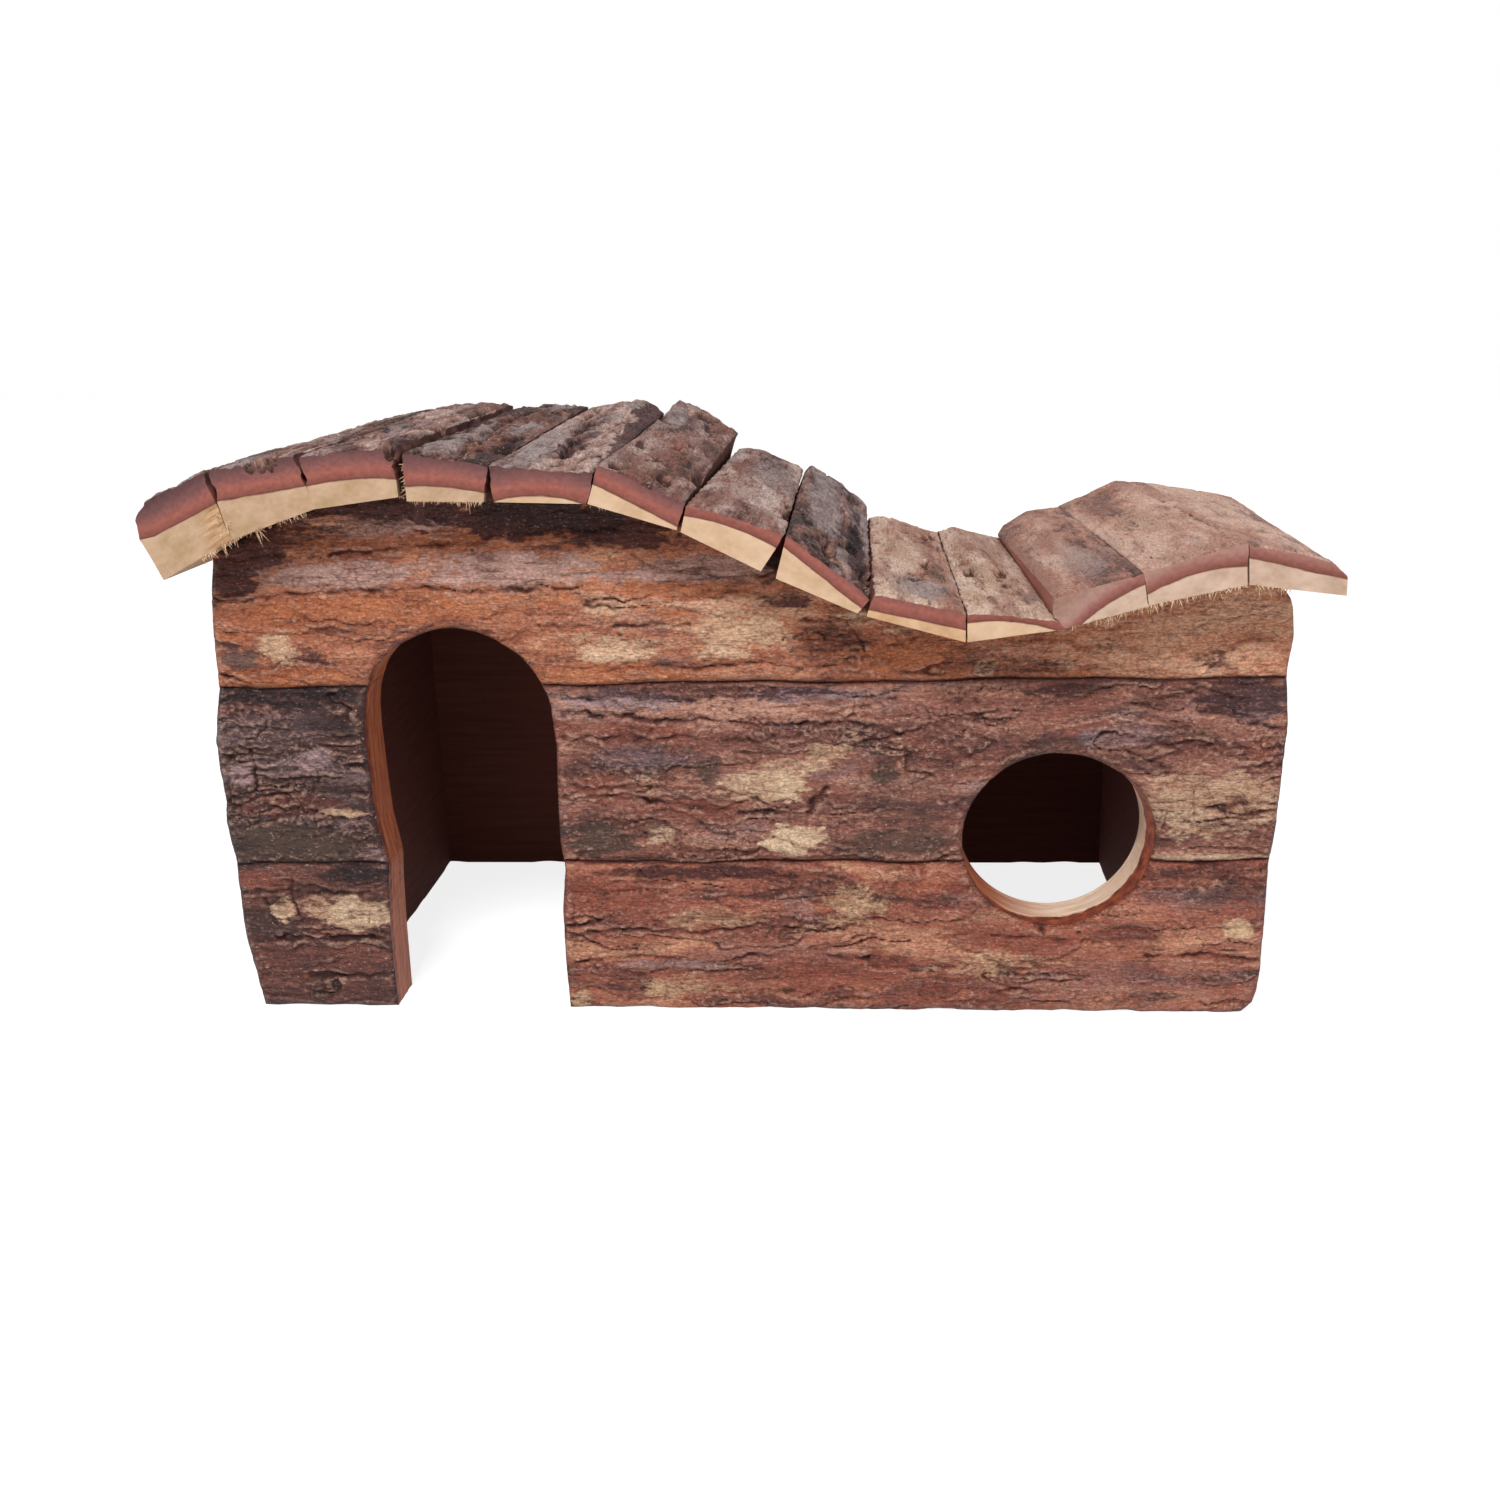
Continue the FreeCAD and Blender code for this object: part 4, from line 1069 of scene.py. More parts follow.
def roof_slat(number, foot, front_top, back_top, layer, seed, style, bark_look, section,
              edge_drop=0.2, joint_gap=0.06, left_swell=((0, 0), (1, 0)), painted_side_shading=0.9, chips=0.3,
              torn_from=None, patches=(), splits=(), hollows=()):
    """One slat. foot and tops are runs of (x, z); layer is the line between wood and inner bark.

    patches and splits lie at (y, mm from the left edge). left_swell bulges the left side outwards."""
    node = "roof_slat_%02d" % number
    spots, top_faces, other_faces = slat_lattice()
    u, v, t = spots.T
    v = v ** 0.85       # closer rows towards the bark
    joints = ROOF_UNDERSIDE[number - 1:number + 1]
    bottom = on_run(foot, u) * (1 - t)[:, None] + on_run(joints, u) * t[:, None]
    top = on_run(front_top, u) * (1 - t)[:, None] + on_run(back_top, u) * t[:, None]
    slab = top - bottom
    tall = np.hypot(*slab.T)
    slope = slab / tall[:, None]
    width = math.hypot(foot[-1][0] - foot[0][0], foot[-1][1] - foot[0][1])
    y = ROOF_FRONT_Y + (ROOF_BACK_Y - ROOF_FRONT_Y) * t
    across = u * width
    is_top = v == 1
    top_y, top_across = y[is_top], across[is_top]
    relief, masks = bark(top_y, top_across, seed, style)
    lay_patches(top_y, top_across, seed, relief, masks, patches)
    side_gap = np.minimum(top_across, width - top_across)
    end_gap = end_gap_of(t[is_top])
    relief *= (0.3 + 0.7 * ease(side_gap, 0.0, 2.0)) * (0.5 + 0.5 * ease(end_gap, 0.0, 3.0))
    cut_splits(top_y, top_across, seed, relief, masks, splits)
    hollow_out(top_y, top_across, seed, relief, masks, hollows)
    relief = np.clip(relief, *SLAT_RELIEF)
    ragged = 1 + 0.8 * fractal(top_y, top_across, 7, 7, seed + 60, 2)
    relief -= edge_drop * np.exp(-side_gap / 0.7) * ragged + 0.25 * np.exp(-end_gap / 0.6) * ragged
    renumber = np.cumsum(is_top) - 1
    mark_edges(relief, renumber[top_faces], masks, 0.5, 0.45)
    # Painted shade where a slat's edge drops into the joint with its neighbour.
    at_joint = ease(edge_drop, 0.1, 0.4) * np.exp(-(side_gap / 0.45) ** 2)
    masks["dark"] = np.maximum(masks["dark"], at_joint)
    spot_across = np.round(u * ACROSS).astype(int)
    spot_along = np.round(t * ALONG).astype(int)
    table = np.zeros((ACROSS + 1, ALONG + 1))
    table[spot_across[is_top], spot_along[is_top]] = relief
    fade = np.clip((v * tall - (tall - RELIEF_FADE)) / RELIEF_FADE, 0, 1)
    height = table[spot_across, spot_along] * fade
    flat = bottom + slope * (v * tall + height)[:, None]
    layer = np.asarray(layer, float)
    bend = np.polyfit(layer[:, 0], layer[:, 1], len(layer) - 1)
    over_wood = flat[:, 1] - np.polyval(bend, flat[:, 0])
    uneven = 1 + 1.5 * np.maximum(-0.4, fractal(y, v * tall, 8, 4, seed + 61, 2))
    inset = joint_gap * ease(over_wood, -0.4, 1.8) * uneven
    inset += chips * ease(over_wood, -0.3, 2.0) * fractal(y, v * tall, 4, 3, seed + 63, 3)
    beside = np.clip(1 - np.minimum(across, width - across) / JOINT_FADE, 0, 1)
    flat[:, 0] += np.where(u < 0.5, inset, -inset) * beside
    swell = np.interp(v, *np.asarray(left_swell, float).T)
    flat[:, 0] += swell * np.clip(1 - across / 1.5, 0, 1)
    end_rough = 0.1 * fractal(across, v * tall, 3, 3, seed + 62, 2)
    y = y + np.where(t == 0, end_rough + 0.15, 0) + np.where(t == 1, end_rough - 0.15, 0)
    points = np.stack((flat[:, 0], y, flat[:, 1]), axis=1)
    values = {}
    for key, data in masks.items():
        values[key] = np.zeros(len(u))
        values[key][is_top] = data
    values["layer"] = over_wood
    # Painted shading on the long sides, away from the ends: shade in the gaps between slats, light on the
    # rosy slats.
    at_side = ((u == 0) | (u == 1)) & (v < 0.999)
    values["side"] = painted_side_shading * at_side * ease(end_gap_of(t), 0.3, 3.0)
    values["torn"] = np.zeros(len(u))
    if torn_from is not None:
        values["torn"] = np.where(t == 0, ease(points[:, 0], torn_from - 4.0, torn_from + 3.0), 0)
    values["grain"] = np.stack((y + seed * 11.0, across + seed * 31.0, v * tall), axis=1)
    faces = top_faces.tolist() + other_faces.tolist()
    kinds = [0] * len(top_faces) + [1] * len(other_faces)
    smooth = [True] * len(top_faces) + [False] * len(other_faces)
    return mesh_piece("slab_" + node, node, points, faces, (bark_look, section),
                      kinds, values, smooth)


old_section = section_look("sawn_section_yellowed", ("#a78a69", "#b4967a", "#bfa186"))
fresh_section = section_look("sawn_section_fresh", ("#bf9e7f", "#c9a98b", "#d0b295"))
rosy_section = section_look("sawn_section_rosy", ("#b29581", "#c0a491", "#c9af9d"), "#a96b60",
                            ("#6a3e33", "#7c4a42", "#96655c", "#a07a70", "#9f7d72", "#967365"))
amber_section = section_look("sawn_section_amber", ("#b58f6c", "#c49e7a", "#cea988"))
weathered_bark = stained_bark(
    "weathered_grey_bark",
    ((0.1, "#261413"), (0.32, "#58362f"), (0.52, "#7f5a52"), (0.72, "#a08077"), (0.92, "#c2aaa0")),
    bare=("#b3968a", "#8c6a5e"), grey=("#a29290", "#73605f"), rust=("#8f5c4c", "#66392f"),
    olive=("#5f4c48", "#443331"), fleck_amount=0.45, roughness=0.65, mottling=(1.3, 0.6, 1.1), shine=0.2)
flaky_bark = stained_bark(
    "flaky_tan_bark",
    ((0.1, "#40241e"), (0.32, "#7f5443"), (0.52, "#a57865"), (0.72, "#bf9786"), (0.92, "#d6b6a2")),
    bare=("#c8a68c", "#a88069"), grey=("#a59490", "#7b6663"), rust=("#98634f", "#784738"),
    olive=("#6c5550", "#523d39"), fleck_amount=0.4, roughness=0.6, mottling=(1.2, 0.7, 1.1), shine=0.25,
    cracks=0.4)
smooth_bark = stained_bark(
    "smooth_brown_bark",
    ((0.1, "#5e392e"), (0.32, "#956352"), (0.52, "#ac7b67"), (0.72, "#be917d"), (0.92, "#cda693")),
    bare=("#c09c84", "#a67e68"), grey=("#a8928c", "#86706a"), rust=("#a2705c", "#85584a"),
    olive=("#7a5c52", "#624840"), fleck_amount=0.3, roughness=0.55, mottling=(1.0, 0.55, 1.1), shine=0.3,
    cracks=0.25)

rough_style = {
    "plates": 1.5, "plate_length": 34, "plate_width": 11, "step": 0.9, "flake": 0.25, "grit": 0.2,
    "split_length": 34, "split_width": 7, "split_gate": 0.1, "split_depth": 1.8, "cross": 0.35,
    "pits": 0.4, "bare": 0.3, "grey": 0.9, "rust": 0.6, "tone": -0.05, "clouds": 0.5}
flaky_style = dict(rough_style, step=0.55, flake=0.3, split_gate=0.5, split_depth=0.8, pits=0.5, bare=0.6,
                   grey=0.4, rust=0.7, grit=0.14, tone=-0.02)
smooth_style = dict(rough_style, plates=1.0, step=0.3, flake=0.15, grit=0.12, split_gate=0.6,
                    split_depth=0.5, cross=0.1, pits=0.15, bare=0.5, grey=0.4, rust=0.6, tone=-0.04)

roof_slat(
    1, ((-125.45, 109.24), (-109.15, 117.86)), ((-129.17, 125.5), (-113.2, 132.5)),
    ((-130.0, 125.2), (-113.5, 132.8)), ((-129.1, 117.5), (-110.2, 126.4)), 201,
    dict(rough_style, grey=1.3, rust=0.3), weathered_bark, old_section,
    left_swell=((0, 0), (0.48, -1.7), (0.52, -2.2), (0.8, -2.2), (1, 0)), torn_from=-114.2,
    joint_gap=0.55)
roof_slat(
    2, ((-109.15, 117.86), (-89.8, 124.3)), ((-112.74, 133.08), (-92.55, 135.93)),
    ((-113.0, 133.6), (-93.0, 137.2)), ((-110.2, 126.4), (-90.0, 129.4)), 211,
    dict(rough_style, tone=-0.1, grey=1.3, rust=0.3), weathered_bark, old_section, joint_gap=0.6,
    hollows=((-60.5, 11.5, 4.0, 5.6, 2.9), (-58.0, 7.0, 4.0, 2.4, 1.8), (-50.0, 13.0, 8.0, 2.0, 1.8),
             (-35.0, 6.0, 9.0, 1.6, 1.2)),
    splits=((0.8, 1.2, ((-62, 5.0), (-56, 8.5), (-50, 9.5), (-44, 10.5), (-30, 12.0))),
            (0.9, 1.5, ((-61, 8.0), (-58, 11.5), (-54, 15.0))),
            (0.9, 1.2, ((-20, 4.0), (20, 6.0), (50, 5.0)))))
roof_slat(
    3, ((-89.8, 124.3), (-70.99, 126.6)), ((-92.34, 135.72), (-71.3, 137.09)),
    ((-92.5, 137.6), (-81.0, 138.5), (-71.9, 137.7)), ((-90.0, 129.4), (-82.4, 130.4), (-70.9, 130.3)),
    221, dict(rough_style, tone=-0.08, grey=1.2, rust=0.4), weathered_bark, old_section, joint_gap=0.5,
    hollows=((-60.0, 18.6, 3.0, 1.6, 2.6), (-20.0, 17.4, 16.0, 1.4, 1.4), (25.0, 16.8, 18.0, 1.6, 1.6)),
    splits=((0.8, 1.4, ((-40, 18.0), (0, 16.0), (40, 17.5))),
            (0.9, 1.4, ((-45, 10.0), (-10, 8.0), (30, 11.0)))))
roof_slat(
    4, ((-69.19, 125.7), (-52.49, 125.2)), ((-69.4, 135.93), (-51.01, 132.86)),
    ((-70.9, 136.9), (-64.7, 137.2), (-56.9, 137.0), (-50.3, 136.9)),
    ((-69.9, 128.7), (-63.9, 128.7), (-52.3, 127.1)), 231, dict(rough_style, tone=-0.22), weathered_bark,
    old_section,
    patches=(("dirt_and_shadow", 30, 1.5, 34, 2.6, 0.8), ("grey", -42, 4.5, 14, 4.0, 1.0),
             ("rust", -35, 11, 18, 4, 0.7), ("dirt_and_shadow", -30, 14.5, 20, 2.5, 0.8),
             ("grey", 0, 12, 14, 3.0, 1.0)),
    hollows=((-56.5, 9.6, 4.5, 2.6, 2.2), (-38.5, 14.6, 8.0, 1.8, 1.6), (-44.0, 11.5, 4.0, 1.2, 1.2),
             (-8.0, 2.0, 14.0, 1.4, 0.5), (-18.0, 8.2, 14.0, 1.1, 1.3)),
    splits=((0.9, 1.4, ((-50, 8.8), (-43, 11.1), (-44, 15.2), (-36, 15.0))),
            (1.2, 0.6, ((-21, 1.0), (0, 0.5), (15, 0.4), (40, 0.4), (56, 0.3))),
            (1.0, 1.2, ((-36, 6.5), (-16, 6.9), (-3, 10.4))),
            (1.0, 1.4, ((-25, 6.9), (3, 5.8), (37, 6.5))),
            (0.9, 1.4, ((-32, 14.0), (-15, 13.8), (6, 13.2)))))
roof_slat(
    5, ((-50.16, 125.2), (-30.29, 124.5)), ((-50.8, 133.08), (-28.29, 131.17)),
    ((-49.6, 136.4), (-40.5, 137.9), (-33.5, 138.0), (-28.0, 134.6)),
    ((-50.1, 125.3), (-39.2, 126.2), (-31.0, 124.5)), 241, dict(rough_style, tone=0.22, split_gate=0.4),
    weathered_bark, fresh_section,
    # The dark band along the right edge is painted shade of the slat's sloping side.
    patches=(("dirt_and_shadow", 48, 18.2, 26, 3.0, 1.4), ("dirt_and_shadow", 8, 19.0, 36, 2.2, 1.4),
             ("dirt_and_shadow", -38, 19.8, 24, 1.2, 1.2), ("grey", -30, 4.5, 34, 5.0, 1.1),
             ("bare", -52, 15.5, 7, 2.4, 0.9), ("dirt_and_shadow", -25, 10.5, 30, 3.0, 0.7)),
    hollows=((-52.0, 12.0, 4.5, 2.4, 2.4), (-40.0, 10.6, 6.0, 1.8, 1.8), (-22.0, 9.4, 9.0, 1.8, 1.8),
             (4.0, 7.6, 14.0, 1.7, 1.6), (34.0, 5.2, 16.0, 1.5, 1.4), (-38.0, 17.2, 6.0, 1.2, 1.2)),
    splits=((1.0, 1.2, ((-37, 10.2), (-21, 8.9), (0, 7.7), (27, 5.7), (51, 4.0))),
            (1.2, 1.5, ((-50, 14.4), (-41, 15.4), (-33, 16.2))), (0.7, 1.0, ((-55, 1.7), (-39, 1.5))),
            (0.7, 0.8, ((2, 13.7), (23, 15.4)))))
roof_slat(
    6, ((-29.98, 124.5), (-11.06, 118.6)), ((-27.23, 132.86), (-9.15, 124.3)),
    ((-26.2, 134.4), (-23.5, 138.2), (-15.0, 134.3), (-6.9, 128.7)), ((-28.6, 128.7), (-10.5, 119.1)),
    251, dict(rough_style, tone=0.06, rust=0.9, grey=0.5, split_gate=0.4), weathered_bark, fresh_section,
    patches=(("rust", -25, 9.0, 30, 6.0, 0.6), ("dirt_and_shadow", 45, 12.0, 18, 5.0, 0.4),
             ("bare", -40, 9.0, 8, 3.0, 0.7), ("grey", 30, 5.0, 22, 3.5, 1.0)),
    hollows=((-58.5, 3.2, 2.6, 1.6, 1.4), (-51.0, 13.2, 4.0, 2.2, 1.8), (-27.0, 19.0, 10.0, 1.6, 1.8),
             (50.0, 11.5, 6.0, 2.6, 1.6), (-22.0, 3.8, 7.0, 1.1, 1.0)),
    splits=((0.8, 1.2, ((-58, 2.0), (-60, 3.7), (-57, 4.7))),
            (0.9, 1.4, ((-53, 9.9), (-50, 11.9), (-49, 14.4))),
            (1.7, 2.0, ((-37, 17.8), (-27, 19.1), (-15, 19.6))), (1.3, 1.6, ((39, 0.5), (16, 4.5))),
            (1.6, 2.4, ((56, 12.4), (59, 15.6))), (0.7, 0.9, ((-36, 3.2), (-19, 6.7), (-5, 13.6))),
            (0.6, 0.8, ((-42, 6.4), (-32, 9.9))), (1.0, 1.4, ((15, 12.0), (30, 15.0), (42, 13.5)))))
roof_slat(
    7, ((-10.21, 118.17), (6.81, 109.51)), ((-8.73, 123.99), (12.09, 117.22)),
    ((-6.3, 124.3), (0.7, 123.1), (12.0, 117.8)), ((-9.7, 121.6), (0.25, 119.2), (10.5, 114.3)), 261,
    dict(rough_style, tone=0.18, rust=0.8, grey=0.6, split_gate=0.4), weathered_bark, fresh_section,
    patches=(("grey", 25, 12.0, 30, 5.0, 0.7), ("rust", -30, 6.0, 30, 6.0, 0.5)),
    splits=((1.3, 2.0, ((-12, 16.9), (-27, 18.9), (-40, 19.0))),
            (0.8, 1.2, ((-9, 0.2), (0, 2.1), (-1, 5.3))), (0.8, 1.0, ((21, 6.2), (24, 9.1))),
            (0.6, 0.9, ((-42, 6.4), (-41, 8.1))), (0.7, 1.0, ((34, 12.2), (29, 14.6)))))
roof_slat(
    8, ((9.98, 107.9), (27.42, 100.1)), ((12.41, 117.01), (30.7, 103.37)),
    ((12.6, 117.6), (13.8, 118.6), (22.5, 113.8), (30.3, 107.0)), ((11.8, 114.6), (28.5, 100.9)), 271,
    dict(rough_style, tone=-0.15, rust=0.1, grey=1.3, split_gate=0.25), weathered_bark, fresh_section,
    patches=(("dirt_and_shadow", -15, 15.5, 45, 2.5, 0.8), ("grey", 10, 7.0, 45, 5.0, 0.9)),
    hollows=((-23.0, 14.8, 4.5, 1.8, 2.0), (-27.0, 8.6, 2.6, 1.2, 1.3), (40.0, 13.8, 3.0, 1.4, 1.2),
             (-50.0, 8.8, 3.0, 1.2, 1.3), (-44.0, 17.8, 12.0, 1.5, 1.6)),
    splits=((1.0, 1.6, ((-34, 4.1), (-33, 6.0))), (1.5, 2.2, ((-41, 6.4), (-46, 7.9), (-50, 9.1))),
            (1.4, 2.0, ((-24, 13.6), (-27, 15.8))),
            (1.7, 1.8, ((7, 14.8), (-12, 16.0), (-38, 17.2), (-59, 18.1))),
            (0.8, 1.0, ((26, 0.5), (16, 4.1), (18, 9.6))),
            (0.8, 1.0, ((58, 2.9), (57, 9.1), (55, 16.2))), (0.7, 0.9, ((0, 8.6), (-6, 12.7)))))
roof_slat(
    9, ((29.4, 99.4), (50.67, 93.5)), ((31.12, 104.22), (50.8, 99.6)),
    ((31.0, 103.4), (35.0, 103.7), (50.8, 98.9)), ((30.3, 100.6), (50.7, 96.1)), 281,
    dict(flaky_style, tone=0.25, flake=0.55, step=0.7), flaky_bark, amber_section, edge_drop=0.12,
    joint_gap=-0.04,
    patches=(("grey", -45, 12.0, 14, 7.0, 1.0), ("bare", 10, 8.0, 25, 6.0, 0.6),
             ("rust", 25, 15, 25, 4, 0.6)),
    hollows=((-9.5, 14.8, 5.0, 1.6, 1.6), (48.0, 19.4, 6.0, 1.3, 1.2), (-36.0, 10.4, 4.0, 2.2, 1.2),
             (40.0, 17.0, 7.0, 1.2, 1.2)),
    splits=((0.6, 1.1, ((27, 15.7), (38, 18.8), (53, 20.4))),
            (0.6, 1.2, ((-36, 7.4), (-38, 9.4), (-36, 11.9), (-24, 14.3), (-9, 15.2))),
            (0.5, 0.9, ((56, 7.7), (60, 9.9))), (0.5, 0.7, ((-14, 2.2), (-25, 4.1)))))
roof_slat(
    10, ((51.1, 93.5), (71.81, 96.2)), ((50.99, 99.89), (71.0, 98.09)),
    ((51.0, 99.2), (56.2, 99.6), (67.9, 97.0)), ((51.2, 97.7), (58.6, 98.0), (67.6, 96.5)), 291,
    dict(flaky_style, tone=0.39, flake=0.55, step=0.7), flaky_bark, fresh_section, edge_drop=0.12,
    joint_gap=-0.04,
    patches=(("bare", -44, 3.0, 9, 3.0, 1.1), ("bare", -15, 8.0, 20, 5.0, 0.7),
             ("bare", -20, 13, 18, 3, 0.9)),
    hollows=((-11.0, 4.7, 4.5, 1.6, 1.8), (-8.0, 13.2, 5.5, 1.4, 1.6), (-25.5, 12.3, 3.5, 1.1, 1.1)),
    splits=((0.7, 1.3, ((-15, 3.7), (-5, 5.5))), (0.6, 1.1, ((-4, 11.5), (-11, 12.0), (-20, 11.7))),
            (0.6, 1.0, ((-22, 5.2), (-27, 7.0))), (0.5, 0.9, ((48, 1.0), (33, 2.3))),
            (0.5, 0.7, ((14, 3.7), (8, 5.0))), (0.5, 0.7, ((-29, 13.3), (-34, 14.6)))))
roof_slat(
    11, ((72.02, 96.25), (89.04, 100.9)), ((69.17, 103.06), (87.77, 108.24)),
    ((68.3, 98.0), (69.9, 100.6), (76.3, 104.4), (85.8, 105.8)),
    ((72.0, 93.5), (74.8, 96.6), (81.5, 102.0), (88.0, 105.5)), 301, smooth_style, smooth_bark,
    rosy_section, edge_drop=0.1, joint_gap=-0.05, painted_side_shading=0.9, chips=0.1,
    left_swell=((0, 0), (0.1, -0.5), (0.25, -0.6), (0.34, -1.5), (0.6, -1.2), (1, 0)),
    patches=(("rust", -10, 1.0, 60, 2.0, 0.8), ("grey", -30, 10.0, 25, 5.0, 0.6)),
    splits=((0.5, 0.6, ((8, 11.2), (-1, 11.2), (-7, 11.2))), (0.5, 0.6, ((-7, 16.4), (-20, 16.6))),
            (0.5, 0.5, ((-58, 4.4), (-61, 5.7)))))
roof_slat(
    12, ((89.25, 101.1), (109.44, 105.3)), ((87.99, 108.24), (108.81, 114.37)),
    ((85.7, 105.9), (101.5, 112.9), (109.7, 112.2)), ((88.8, 103.4), (98.2, 107.5), (109.1, 109.1)), 311,
    dict(smooth_style, tone=0.06), smooth_bark, rosy_section, edge_drop=0.05, joint_gap=-0.16,
    painted_side_shading=0.0, chips=0.05,
    patches=(("bare", -5, 9.0, 18, 5.0, 0.7), ("dirt_and_shadow", -55, 12.0, 8, 9.0, 0.2)),
    splits=((0.45, 1.0, ((28, 17.3), (9, 18.3), (-17, 19.1), (-38, 19.8))),
            (0.5, 0.5, ((0, 7.7), (-12, 7.2)))))
roof_slat(
    13, ((109.87, 105.3), (130.05, 102.7)),
    ((109.23, 113.84), (120.5, 111.6), (126.5, 109.9), (129.9, 107.2)),
    ((109.9, 112.2), (126.1, 109.3), (134.6, 107.8)), ((109.5, 110.9), (130.1, 106.0)), 321,
    dict(smooth_style, tone=0.3), smooth_bark, rosy_section, edge_drop=0.1, joint_gap=0.05, painted_side_shading=0.5,
    chips=0.1,
    patches=(("dirt_and_shadow", -57, 10.0, 5, 10.0, 0.3),),
    splits=((0.5, 0.8, ((45, 10.9), (43, 13.5), (48, 17.8))), (0.5, 0.5, ((6, 14.8), (-7, 14.8)))))

# ---- Torn fibres -----------------------------------------------------------------------------
# Soft pine tears where the saw comes out, so the slats' lower front edges keep fringes of fine
# splinters, and the first slat's right edge is torn open down its end.

FIBRE_SPACING, FIBRE_THICKNESS, FIBRE_UNTIDINESS, FIBRE_SEED = 0.22, 0.18, 0.55, 9
# Rows: points (x, z) on the front ends, length, share kept, lean (x, y, z) and stain.
FIBRE_ROWS = (
    (((-124.8, 109.9), (-116.5, 114.2)), 0.5, 0.35, (0.3, -0.2, -1.0), 0.1),
    (((-116.5, 114.2), (-109.2, 118.0), (-107.0, 118.8)), 1.7, 1.0, (0.45, -0.35, -1.0), 0.1),
    (((-107.0, 118.8), (-91.0, 123.9)), 0.9, 0.6, (0.4, -0.3, -1.0), 0.35),
    (((-103.6, 120.1), (-102.4, 120.5)), 2.4, 1.0, (0.9, -0.6, -0.8), 0.35),
    (((-99.0, 121.4), (-96.8, 122.1)), 1.6, 0.7, (1.0, -0.5, -0.4), 0.35),
    (((-110.4, 125.6), (-109.9, 122.5), (-109.5, 119.0)), 1.2, 1.0, (1.0, -0.45, -0.7), 0.1),
    (((-112.0, 124.8), (-111.6, 121.0), (-111.2, 117.6)), 1.0, 0.8, (0.8, -0.5, -1.0), 0.1),
    (((-113.8, 123.5), (-113.4, 116.2)), 0.8, 0.5, (0.5, -0.5, -1.0), 0.1),
    (((-72.5, 126.9), (-69.8, 126.4)), 0.9, 0.8, (-0.3, -0.3, -1.0), 0.35),
    (((-69.3, 133.5), (-69.2, 126.2)), 0.8, 0.7, (-0.9, -0.5, -0.4), 0.35),
    (((-69.0, 125.9), (-52.6, 125.4)), 1.3, 1.0, (0.1, -0.3, -1.0), 0.35),
    (((-29.6, 124.6), (-23.5, 122.8)), 0.7, 0.5, (0.2, -0.3, -1.0), 0.35),
    (((52.0, 93.8), (71.0, 96.3)), 0.6, 0.3, (0.1, -0.3, -1.0), 0.8),
    (((73.5, 96.9), (89.0, 101.1)), 1.3, 1.0, (-0.1, -0.5, -1.0), 0.3),
    (((89.3, 101.3), (109.4, 105.5)), 1.5, 1.0, (0.0, -0.5, -1.0), 0.15),
    (((109.9, 105.5), (118.5, 104.4)), 1.5, 0.95, (0.1, -0.5, -1.0), 0.15))


